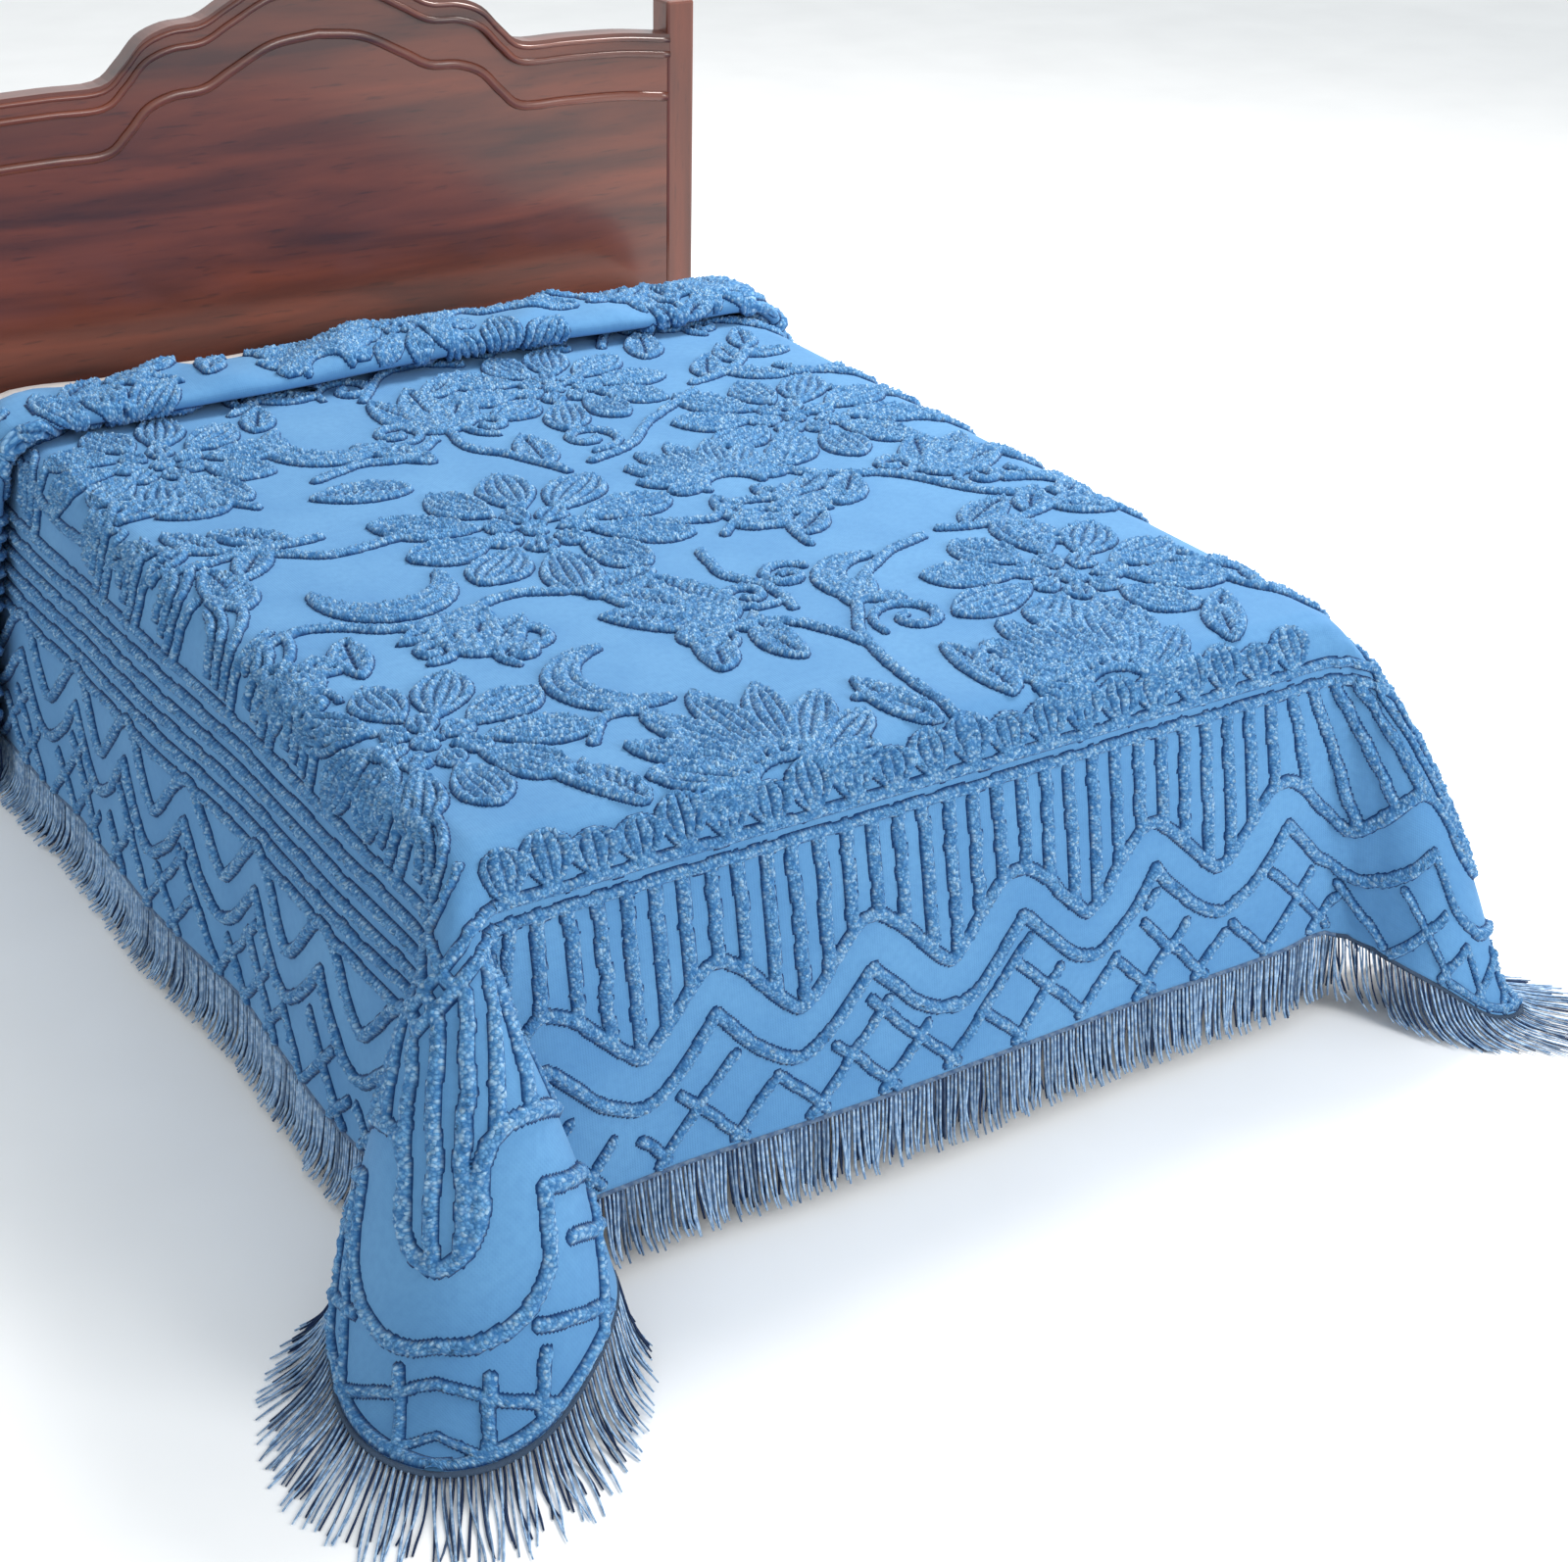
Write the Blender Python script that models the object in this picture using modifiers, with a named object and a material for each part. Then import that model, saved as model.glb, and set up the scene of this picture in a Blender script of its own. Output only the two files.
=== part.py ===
"""Chenille bedspread on a plain bed with an arched wooden headboard.

Metres, +Z up, standing on the floor at z = 0. The foot of the bed is at -Y and its head at +Y.
The origin is the middle of the bed base's underside.
"""

import math
from collections import namedtuple

import bmesh
import bpy
import numpy as np

COLLECTION = "chenille_bedspread"

# Bed
BED_WIDTH = 1.50
BED_LENGTH = 2.03
FOOT = -BED_LENGTH / 2
HEAD = BED_LENGTH / 2
BASE_HEIGHT = 0.36
BASE_INSET = 0.012
BASE_EDGE = 0.010
MATTRESS_EDGE = 0.095
GAP = 0.0003

# Headboard
HEAD_PANEL_THICKNESS = 0.028
HEAD_PANEL_LOWEST = 0.30
RAIL_HEIGHT = 0.034
RAIL_PROUD = 0.009
POST_SIZE = 0.062
POST_EDGE = 0.006
POST_HEIGHT = 1.185
POST_MIDDLE = 0.781

# Half outline of the headboard's top, from its middle outwards
OutlineRow = namedtuple("OutlineRow", "out up")
HEAD_OUTLINE = [
    OutlineRow(0.000, 1.318),
    OutlineRow(0.090, 1.306),
    OutlineRow(0.170, 1.268),
    OutlineRow(0.225, 1.240),
    OutlineRow(0.285, 1.234),
    OutlineRow(0.335, 1.215),
    OutlineRow(0.375, 1.175),
    OutlineRow(0.420, 1.142),
    OutlineRow(0.520, 1.140),
    OutlineRow(0.640, 1.136),
    OutlineRow(0.7495, 1.124),
]
OUTLINE_STEPS = 4

# Colours, linear, and roughness
CLOTH_BLUE = (0.13, 0.29, 0.60)
FRINGE_BLUE = (0.11, 0.22, 0.42)
SHEET_WHITE = (0.72, 0.69, 0.66)
BASE_GREY = (0.35, 0.34, 0.33)
MAHOGANY = (0.10, 0.022, 0.010)
CLOTH_ROUGHNESS = 0.95
WOOD_ROUGHNESS = 0.25

# Cloth
CLOTH_TOP = 0.645
CLOTH_THICKNESS = 0.003
DROP = 0.51
CORNER_RADIUS = 0.21
SHIFT_LEFT = 0.022
SHIFT_HEAD = 0.025
SHIFT_START = -0.40
SHIFT_RUN = 1.0
SKEW_FOOT = 0.010
SKEW_RUN = 1.2
BEND = 0.075
BEND_STEPS = 5
CREASE = FOOT + 1.65
FLOOR_CLEARANCE = 0.0005
SLOPE_STEP = 0.004
PLAN_STEPS = 12

# Fringe
FRINGE_LENGTH = 0.115
FRINGE_THICKNESS = 0.004
HEADER_HEIGHT = 0.012
LOCK_TAPER = 0.35
SIDE_LOCKS = 48
FOOT_LOCKS = 33
LEFT_CORNER_LOCKS = 22
RIGHT_CORNER_LOCKS = 19
RUN_PART = 0.0004
CORNER_GAP = 0.0032
FringeRun = namedtuple("FringeRun", "name part side start end shift gap locks levels")

# How far the drops stand out from the bed at a slant of FLARE_REACH below its edge
FLARE_REACH = 0.70
FLARE_EASE = 0.30
SIDE_FLARE = 0.075
FOOT_FLARE = 0.112

# Plan of each corner's fold at FLARE_REACH: the cloth's angle about the corner, from the side drop
# (0 degrees) to the foot drop (90 degrees), and how far it stands out past the side and the foot.
CornerRow = namedtuple("CornerRow", "angle past_side past_foot")
LEFT_CORNER = [
    CornerRow(0, SIDE_FLARE, 0.000),
    CornerRow(8, 0.140, -0.025),
    CornerRow(16, 0.205, -0.005),
    CornerRow(25, 0.242, 0.075),
    CornerRow(35, 0.245, 0.190),
    CornerRow(45, 0.190, 0.305),
    CornerRow(55, 0.075, 0.350),
    CornerRow(65, -0.040, 0.325),
    CornerRow(74, -0.122, 0.250),
    CornerRow(82, -0.105, 0.160),
    CornerRow(90, 0.000, FOOT_FLARE),
]
RIGHT_CORNER = [
    CornerRow(0, SIDE_FLARE, 0.000),
    CornerRow(12, 0.150, 0.040),
    CornerRow(24, 0.205, 0.110),
    CornerRow(36, 0.220, 0.180),
    CornerRow(47, 0.205, 0.245),
    CornerRow(57, 0.150, 0.265),
    CornerRow(68, 0.090, 0.265),
    CornerRow(80, 0.032, 0.225),
    CornerRow(90, 0.000, FOOT_FLARE),
]
LEFT_STRETCH = 0.15
RIGHT_STRETCH = 0.18
RIGHT_EASE = 0.5

# Soft folds that run down the drops: place along the drop, width, and how far in (-) or out (+) at the hem
DropFold = namedtuple("DropFold", "place width depth")
SIDE_FOLDS = [
    DropFold(-0.72, 0.10, 0.012),
    DropFold(-0.38, 0.09, -0.014),
    DropFold(-0.05, 0.13, 0.012),
    DropFold(0.32, 0.08, -0.012),
]
FOOT_FOLDS = [
    DropFold(-0.46, 0.10, -0.010),
    DropFold(-0.10, 0.16, 0.008),
    DropFold(0.34, 0.09, -0.008),
    DropFold(0.700, 0.030, -0.040),
]

# Uneven line of the head fold's crease, and uneven share of its height
Wave = namedtuple("Wave", "size turns start")
CREASE_WAVES = [Wave(0.010, 4.1, 0.6), Wave(0.005, 9.7, 0.0)]
FOLD_WAVES = [Wave(0.12, 5.3, 1.0)]
CREASE_EASE = 0.05
FOLD_STEPS = 10

# Section of the head fold: along the bed from the crease, up from the cloth beneath, and the mesh
# rows up to the next table row
FoldRow = namedtuple("FoldRow", "along up parts")
HEAD_FOLD = [
    FoldRow(-0.080, 0.000, 1),
    FoldRow(0.000, 0.000, 1),
    FoldRow(0.070, 0.000, 1),
    FoldRow(0.125, 0.001, 1),
    FoldRow(0.152, 0.007, 2),
    FoldRow(0.158, 0.018, 2),
    FoldRow(0.143, 0.027, 1),
    FoldRow(0.095, 0.028, 1),
    FoldRow(0.045, 0.023, 1),
    FoldRow(0.010, 0.021, 2),
    FoldRow(-0.008, 0.030, 2),
    FoldRow(-0.004, 0.045, 2),
    FoldRow(0.022, 0.054, 1),
    FoldRow(0.070, 0.057, 1),
    FoldRow(0.120, 0.053, 1),
    FoldRow(0.160, 0.040, 1),
    FoldRow(0.182, 0.022, 1),
]


def smooth_path(rows, steps):
    """Catmull-Rom curve through the rows, with this many steps between two of them."""
    points = np.array(rows, float)
    ends = np.vstack([2 * points[0] - points[1], points, 2 * points[-1] - points[-2]])
    before, start, end, after = ends[:-3, None], ends[1:-2, None], ends[2:-1, None], ends[3:, None]
    t = np.linspace(0, 1, steps, endpoint=False)[None, :, None]
    curve = 0.5 * (
        2 * start
        + (end - before) * t
        + (2 * before - 5 * start + 4 * end - after) * t**2
        + (3 * start - before - 3 * end + after) * t**3
    )
    return np.vstack([curve.reshape(-1, points.shape[1]), points[-1:]])


def flare(slant):
    """Share of the full flare that the cloth has at this slant below the edge: fast first, then slower."""
    return slant * (1 - FLARE_EASE * slant / FLARE_REACH) / (FLARE_REACH * (1 - FLARE_EASE))


def fold_depth(folds, place):
    return sum(row.depth * np.exp(-(((place - row.place) / row.width) ** 2)) for row in folds)


def waves(rows, place):
    return sum(row.size * np.sin(row.turns * place + row.start) for row in rows)


def hung(s, y):
    """The cloth before its edges are rounded: s across the bed from its middle, y along it.

    Inside the bed's outline it is flat. Past one edge it drops, standing out by the flare. Past both
    edges the slant from the corner swings round the plan of the corner's fold. What would pass
    the floor lies on it.
    """
    side = np.sign(s)
    across = np.maximum(np.abs(s) - BED_WIDTH / 2, 0)
    down = np.maximum(FOOT - y, 0)
    slant = np.hypot(across, down)
    angle = np.degrees(np.arctan2(down, across))
    corner = (across > 0) & (down > 0)
    out = np.zeros(slant.shape)
    forward = np.zeros(slant.shape)
    for rows, mine in ((LEFT_CORNER, side < 0), (RIGHT_CORNER, side >= 0)):
        plan = smooth_path(rows, PLAN_STEPS)
        out = np.where(corner & mine, np.interp(angle, plan[:, 0], plan[:, 1]), out)
        forward = np.where(corner & mine, np.interp(angle, plan[:, 0], plan[:, 2]), forward)
    along_side = (across > 0) & (down == 0)
    along_foot = (down > 0) & (across == 0)
    out = np.where(along_side, SIDE_FLARE + fold_depth(SIDE_FOLDS, y), out)
    forward = np.where(along_foot, FOOT_FLARE + fold_depth(FOOT_FOLDS, s), forward)
    swing = np.maximum(np.sin(np.radians(2 * angle)), 0)
    stretch = np.where(side < 0, LEFT_STRETCH * swing, RIGHT_STRETCH * swing**RIGHT_EASE)
    slant = slant * (1 + np.where(corner, stretch, 0))
    share = flare(slant)
    out, forward = out * share, forward * share
    reach = np.hypot(out, forward)
    fall = np.sqrt(np.maximum(slant**2 - reach**2, 0))
    lowest = CLOTH_TOP - CLOTH_THICKNESS / 2 - FLOOR_CLEARANCE
    rest = np.maximum(fall - lowest, 0)
    spread = 1 + rest / np.maximum(reach, 1e-6)
    x = np.clip(s, -BED_WIDTH / 2, BED_WIDTH / 2) + side * out * spread
    y = np.maximum(y, FOOT) - forward * spread
    return np.stack([x, y, CLOTH_TOP - np.minimum(fall, lowest)], -1)


def draped(s, y):
    """The hung cloth averaged over a small square about each point, which rounds its edges."""
    steps = np.linspace(-1, 1, BEND_STEPS)
    weights = np.cos(steps * math.pi / 2 * 0.9)
    weights = weights / weights.sum()
    total = 0
    for step_s, weight_s in zip(steps, weights):
        for step_y, weight_y in zip(steps, weights):
            total = total + weight_s * weight_y * hung(s + step_s * BEND, y + step_y * BEND)
    return total


def cut_round(p, q):
    """Moves points of a square-cornered cloth so that its two foot corners are round."""
    across = np.maximum(np.abs(p) - BED_WIDTH / 2, 0)
    down = np.maximum(FOOT - q, 0)
    slant = np.hypot(across, down)
    angle = np.arctan2(down, across)
    square = DROP / np.maximum(np.cos(angle), np.sin(angle))
    inner = DROP - CORNER_RADIUS
    middle = inner * (np.cos(angle) + np.sin(angle))
    arc = middle + np.sqrt(np.maximum(middle**2 - 2 * inner**2 + CORNER_RADIUS**2, 0))
    straight = np.minimum(np.cos(angle), np.sin(angle)) * square <= inner
    reach = np.where(straight, square, arc)
    inside = 1 + (reach / square - 1) * np.minimum(slant / square, 1) ** 3
    past = (slant - square) * np.maximum(np.cos(angle), np.sin(angle))
    corner = (across > 0) & (down > 0)
    scale = np.where(slant > square, (reach + past) / np.maximum(slant, 1e-9), inside)
    scale = np.where(corner, scale, 1)
    p = np.where(corner, np.sign(p) * (BED_WIDTH / 2 + across * scale), p)
    q = np.where(corner, FOOT - down * scale, q)
    return p, q


def head_section():
    """Length along the folded section, and its along and up there."""
    path = smooth_path(HEAD_FOLD, FOLD_STEPS)[:, :2]
    lengths = np.concatenate([[0], np.cumsum(np.hypot(*np.diff(path, axis=0).T))])
    return lengths, path[:, 0], path[:, 1]


def cloth_point(p, q):
    """Where the cloth's point p across and q along lies, with q measured along the cloth itself."""
    p, q = np.broadcast_arrays(np.asarray(p, float), np.asarray(q, float))
    p, q = cut_round(p, q)
    toward_head = np.clip((q - SHIFT_START) / SHIFT_RUN, 0, 1)
    s = p - SHIFT_LEFT - SHIFT_HEAD * toward_head**2 * (3 - 2 * toward_head)
    lengths, alongs, ups = head_section()
    start = CREASE + alongs[0]
    length = np.maximum(q - start, 0)
    y = np.where(q > start, CREASE + np.interp(length, lengths, alongs), q)
    y = y + waves(CREASE_WAVES, p) * np.clip(length / CREASE_EASE, 0, 1)
    y = y - SKEW_FOOT * (0.5 - p / BED_WIDTH) * np.clip((CREASE - q) / SKEW_RUN, 0, 1)
    up = np.maximum(np.interp(length, lengths, ups), 0) * (1 + waves(FOLD_WAVES, p))
    across = draped(s + SLOPE_STEP, y) - draped(s - SLOPE_STEP, y)
    along = draped(s, y + SLOPE_STEP) - draped(s, y - SLOPE_STEP)
    normal = np.cross(across, along)
    normal = normal / np.linalg.norm(normal, axis=-1, keepdims=True)
    return draped(s, y) + normal * up[..., None]


def spaced(stops):
    """Places from the first stop to the last, with each stop's number of equal steps up to the next."""
    places = [np.linspace(a, b, parts, endpoint=False) for (a, parts), (b, _) in zip(stops, stops[1:])]
    return np.concatenate(places + [[stops[-1][0]]])


def cloth_lines():
    """The mesh's lines across and along the cloth, closer together where it bends."""
    edge = BED_WIDTH / 2
    across = spaced([
        (-edge - DROP, 9),
        (-edge - BEND, 4),
        (-edge + BEND + SHIFT_LEFT, 1),
        (-edge + BEND + SHIFT_LEFT + SHIFT_HEAD, 8),
        (edge - BEND + SHIFT_LEFT, 1),
        (edge - BEND + SHIFT_LEFT + SHIFT_HEAD, 4),
        (edge + BEND, 9),
        (edge + DROP, 0),
    ])
    before_fold = spaced([
        (FOOT - DROP, 9),
        (FOOT - BEND, 5),
        (FOOT + BEND + SKEW_FOOT, 6),
        (CREASE + HEAD_FOLD[0].along, 0),
    ])
    lengths = head_section()[0][::FOLD_STEPS]
    in_fold = spaced([(length, row.parts) for length, row in zip(lengths, HEAD_FOLD)])
    along = np.concatenate([before_fold, CREASE + HEAD_FOLD[0].along + in_fold[1:]])
    return across, along


def add_object(name, mesh_or_curve, colour, roughness):
    obj = bpy.data.objects.new(name, mesh_or_curve)
    bpy.data.collections[COLLECTION].objects.link(obj)
    paint(obj, colour, roughness)
    return obj


def paint(obj, colour, roughness):
    material = bpy.data.materials.new(obj.name)
    material.use_nodes = True
    surface = material.node_tree.nodes["Principled BSDF"]
    surface.inputs["Base Color"].default_value = (*colour, 1)
    surface.inputs["Roughness"].default_value = roughness
    surface.inputs["Metallic"].default_value = 0
    obj.data.materials.append(material)


def add_box(name, low, high, colour, roughness, bevel, segments):
    bpy.ops.mesh.primitive_cube_add(size=1)
    obj = bpy.context.object
    obj.name = name
    for collection in list(obj.users_collection):
        collection.objects.unlink(obj)
    bpy.data.collections[COLLECTION].objects.link(obj)
    obj.location = [(a + b) / 2 for a, b in zip(low, high)]
    obj.scale = [b - a for a, b in zip(low, high)]
    with bpy.context.temp_override(selected_editable_objects=[obj], active_object=obj, object=obj):
        bpy.ops.object.transform_apply(location=False, rotation=False, scale=True)
    rounding = obj.modifiers.new("Rounding", "BEVEL")
    rounding.width = bevel
    rounding.segments = segments
    paint(obj, colour, roughness)
    return obj


def add_bedspread():
    """The cloth: a grid laid on the drape, thickened evenly to both sides."""
    across, along = cloth_lines()
    p, q = np.meshgrid(across, along)
    points = cloth_point(p, q).reshape(-1, 3)
    corner = np.arange(len(along) - 1)[:, None] * len(across) + np.arange(len(across) - 1)
    corner = corner.reshape(-1)
    faces = np.stack([corner, corner + 1, corner + 1 + len(across), corner + len(across)], 1)
    mesh = bpy.data.meshes.new("bedspread")
    mesh.from_pydata(points.tolist(), [], faces.tolist())
    obj = add_object("bedspread", mesh, CLOTH_BLUE, CLOTH_ROUGHNESS)
    thickness = obj.modifiers.new("Thickness", "SOLIDIFY")
    thickness.thickness = CLOTH_THICKNESS
    thickness.offset = 0
    return obj


def hem_on_mesh(p, q):
    """Where the bedspread's mesh lies at these places: straight between its grid's lines."""
    across, along = cloth_lines()
    grid = cloth_point(*np.meshgrid(across, along))
    column = np.clip(np.searchsorted(across, p, side="right") - 1, 0, len(across) - 2)
    row = np.clip(np.searchsorted(along, q, side="right") - 1, 0, len(along) - 2)
    u = ((p - across[column]) / (across[column + 1] - across[column]))[..., None]
    v = ((q - along[row]) / (along[row + 1] - along[row]))[..., None]
    low = grid[row, column] * (1 - u) + grid[row, column + 1] * u
    high = grid[row + 1, column] * (1 - u) + grid[row + 1, column + 1] * u
    return low * (1 - v) + high * v


def beyond_hem(run, place, beyond):
    """The cloth's own coordinates this far beyond the hem, as if the cloth went on."""
    past = DROP + beyond
    if run.part == "side":
        return run.side * (BED_WIDTH / 2 + past) + 0 * place, place + 0 * past
    if run.part == "foot":
        return place + 0 * past, FOOT - past + 0 * place
    angle = np.radians(place)
    square = past / np.maximum(np.cos(angle), np.sin(angle))
    return run.side * (BED_WIDTH / 2 + square * np.cos(angle)), FOOT - square * np.sin(angle)


def hem_point(run, place, beyond):
    """The fringe's middle surface, which starts on the hem of the mesh and goes on as the cloth would."""
    hem = beyond_hem(run, place, 0 * beyond)
    point = cloth_point(*beyond_hem(run, place, beyond)) + hem_on_mesh(*hem) - cloth_point(*hem)
    point[..., 2] = np.maximum(point[..., 2], FRINGE_THICKNESS / 2)
    return point


def fringe_faces(run, place, beyond):
    """The fringe's two faces at these places, half its thickness to each side of its middle."""
    here = hem_point(run, place, beyond)
    down = hem_point(run, place, beyond + SLOPE_STEP) - hem_point(run, place, beyond - SLOPE_STEP)
    beside = hem_point(run, place + run.shift, beyond) - hem_point(run, place - run.shift, beyond)
    normal = np.cross(down, beside)
    half = normal / np.linalg.norm(normal, axis=-1, keepdims=True) * FRINGE_THICKNESS / 2
    return np.stack([here - half, here + half], axis=-2)


def add_fringe(run, seed):
    """A header along one run of the hem, with every other stretch of its lower edge drawn out to a lock."""
    chance = np.random.default_rng(seed)
    cells = 2 * run.locks + 1
    places = np.linspace(run.start, run.end, cells + 1)
    trims = 1 - 0.10 * chance.random(run.locks)
    bm = bmesh.new()
    rows = []
    for level in (0, HEADER_HEIGHT):
        points = fringe_faces(run, places, run.gap + level + 0 * places)
        rows.append([[bm.verts.new(point) for point in pair] for pair in points])
    top, low = rows
    for i in range(cells):
        bm.faces.new([top[i][0], top[i + 1][0], low[i + 1][0], low[i][0]])
        bm.faces.new([top[i + 1][1], top[i][1], low[i][1], low[i + 1][1]])
        bm.faces.new([top[i + 1][0], top[i][0], top[i][1], top[i + 1][1]])
    lower = [bm.faces.new([low[i][0], low[i + 1][0], low[i + 1][1], low[i][1]]) for i in range(cells)]
    bm.faces.new([top[0][0], low[0][0], low[0][1], top[0][1]])
    bm.faces.new([low[-1][0], top[-1][0], top[-1][1], low[-1][1]])
    ends = lower[1::2]
    middle = (places[1:-1:2] + places[2::2]) / 2
    width = places[1] - places[0]
    for beyond in np.linspace(HEADER_HEIGHT, FRINGE_LENGTH, run.levels + 1)[1:]:
        half = width * (1 - LOCK_TAPER * beyond / FRINGE_LENGTH) / 2
        place = middle[:, None] + half * np.array([-1, 1])
        reach = run.gap + HEADER_HEIGHT + (beyond - HEADER_HEIGHT) * trims
        points = fringe_faces(run, place, reach[:, None] + 0 * place)
        ends = bmesh.ops.extrude_discrete_faces(bm, faces=ends)["faces"]
        for face, (first, second) in zip(ends, points):
            for vert, point in zip(face.verts, (first[0], second[0], second[1], first[1])):
                vert.co = point
    bmesh.ops.recalc_face_normals(bm, faces=bm.faces)
    if bm.calc_volume(signed=True) < 0:
        bmesh.ops.reverse_faces(bm, faces=bm.faces)
    mesh = bpy.data.meshes.new(run.name)
    bm.to_mesh(mesh)
    bm.free()
    return add_object(run.name, mesh, FRINGE_BLUE, CLOTH_ROUGHNESS)


def fringe_runs():
    """The five runs: places along the sides and foot in metres of cloth, at the corners in degrees."""
    lengths = head_section()[0]
    end = CREASE + HEAD_FOLD[0].along + lengths[-1]
    foot_end = BED_WIDTH / 2 - RUN_PART
    return [
        FringeRun("fringe_left_side", "side", -1, FOOT + RUN_PART, end, 0.002, GAP, SIDE_LOCKS, 2),
        FringeRun("fringe_left_corner", "corner", -1, 0, 90, 0.2, CORNER_GAP, LEFT_CORNER_LOCKS, 4),
        FringeRun("fringe_foot", "foot", 1, -foot_end, foot_end, 0.002, GAP, FOOT_LOCKS, 2),
        FringeRun("fringe_right_corner", "corner", 1, 0, 90, 0.2, CORNER_GAP, RIGHT_CORNER_LOCKS, 4),
        FringeRun("fringe_right_side", "side", 1, FOOT + RUN_PART, end, 0.002, GAP, SIDE_LOCKS, 2),
    ]


def headboard_outline(drop):
    """The headboard's top from left to right, lowered by this much."""
    half = smooth_path(HEAD_OUTLINE, OUTLINE_STEPS)
    left = half[:0:-1] * (-1, 1)
    return np.vstack([left, half]) - (0, drop)


def add_flat_piece(name, outline, front, back):
    """A flat outline in the headboard's plane, extruded from its front to its back."""
    curve = bpy.data.curves.new(name, "CURVE")
    curve.dimensions = "2D"
    curve.fill_mode = "BOTH"
    curve.extrude = (back - front) / 2
    spline = curve.splines.new("POLY")
    spline.points.add(len(outline) - 1)
    for point, (x, z) in zip(spline.points, outline):
        point.co = (x, z, 0, 1)
    spline.use_cyclic_u = True
    obj = add_object(name, curve, MAHOGANY, WOOD_ROUGHNESS)
    obj.rotation_euler = (math.pi / 2, 0, 0)
    obj.location = (0, (front + back) / 2, 0)
    return obj


def add_headboard():
    front = HEAD + GAP
    back = front + HEAD_PANEL_THICKNESS
    top = headboard_outline(RAIL_HEIGHT + GAP)
    edge = HEAD_OUTLINE[-1].out
    panel = [(-edge, HEAD_PANEL_LOWEST), *top.tolist(), (edge, HEAD_PANEL_LOWEST)]
    add_flat_piece("headboard_panel", panel, front, back)
    rail = [*headboard_outline(0).tolist(), *headboard_outline(RAIL_HEIGHT)[::-1].tolist()]
    add_flat_piece("headboard_rail", rail, front - RAIL_PROUD, back + RAIL_PROUD)
    for side, name in ((-1, "headboard_post_left"), (1, "headboard_post_right")):
        middle = side * POST_MIDDLE
        low = (middle - POST_SIZE / 2, front, 0)
        high = (middle + POST_SIZE / 2, front + POST_SIZE, POST_HEIGHT)
        add_box(name, low, high, MAHOGANY, WOOD_ROUGHNESS, POST_EDGE, 2)


def add_bed():
    side = BED_WIDTH / 2 - BASE_INSET
    base_low = (-side, FOOT + BASE_INSET, 0)
    base_high = (side, HEAD, BASE_HEIGHT)
    add_box("bed_base", base_low, base_high, BASE_GREY, CLOTH_ROUGHNESS, BASE_EDGE, 1)
    low = (-BED_WIDTH / 2, FOOT, BASE_HEIGHT + GAP)
    high = (BED_WIDTH / 2, HEAD, CLOTH_TOP - CLOTH_THICKNESS / 2 - GAP)
    add_box("mattress", low, high, SHEET_WHITE, CLOTH_ROUGHNESS, MATTRESS_EDGE, 4)


def main():
    for obj in list(bpy.data.objects):
        bpy.data.objects.remove(obj, do_unlink=True)
    collection = bpy.data.collections.new(COLLECTION)
    bpy.context.scene.collection.children.link(collection)
    add_bed()
    add_headboard()
    add_bedspread()
    for seed, run in enumerate(fringe_runs()):
        add_fringe(run, seed)


main()
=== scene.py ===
# %% [markdown]
# # A chenille bedspread on a bed
#
# The real thing is a wide cotton cloth. A needle machine punches thick soft yarn through it, and
# the cut yarn stands up as caterpillars of pile: straight ribs, waves, a lattice, and flowers.
# A twisted fringe is sewn to three of its edges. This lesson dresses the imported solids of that
# bedspread and its bed: the solids say where everything is, and the cells below say how it looks.
#
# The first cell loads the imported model. All of it is in metres, with the foot of the bed at -Y.

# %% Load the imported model
import math
from collections import namedtuple

import bmesh
import bpy
import numpy as np
from mathutils import Matrix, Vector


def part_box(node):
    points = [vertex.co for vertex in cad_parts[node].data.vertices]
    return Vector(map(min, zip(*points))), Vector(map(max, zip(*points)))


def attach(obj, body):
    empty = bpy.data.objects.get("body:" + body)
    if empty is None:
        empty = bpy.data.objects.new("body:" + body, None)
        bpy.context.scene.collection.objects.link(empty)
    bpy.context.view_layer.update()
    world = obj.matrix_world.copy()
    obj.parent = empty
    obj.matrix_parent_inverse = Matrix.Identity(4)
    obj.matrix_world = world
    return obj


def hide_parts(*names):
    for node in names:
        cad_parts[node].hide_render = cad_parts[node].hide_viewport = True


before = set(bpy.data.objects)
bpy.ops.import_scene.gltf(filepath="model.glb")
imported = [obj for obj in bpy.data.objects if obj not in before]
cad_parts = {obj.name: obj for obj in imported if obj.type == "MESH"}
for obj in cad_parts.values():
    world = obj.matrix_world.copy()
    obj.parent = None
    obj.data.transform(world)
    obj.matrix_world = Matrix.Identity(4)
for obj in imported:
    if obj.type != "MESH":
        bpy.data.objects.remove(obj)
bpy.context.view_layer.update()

print("nodes:", sorted(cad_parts))

# %% [markdown]
# The camera stands where the photographer stood: to the left of the bed's foot, a little over two
# metres up, looking down along the bed with a short telephoto lens. A camera's own axes are right,
# up and backwards, so its matrix is built from those three directions.

# %% Camera
CAMERA_PLACE = (-1.9846, -3.622, 2.2513)
CAMERA_TURN = 0.5833
CAMERA_DOWN = 0.4802
CAMERA_ROLL = 0.0265
CAMERA_LENS = 60.92
CAMERA_SENSOR = 36


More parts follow.
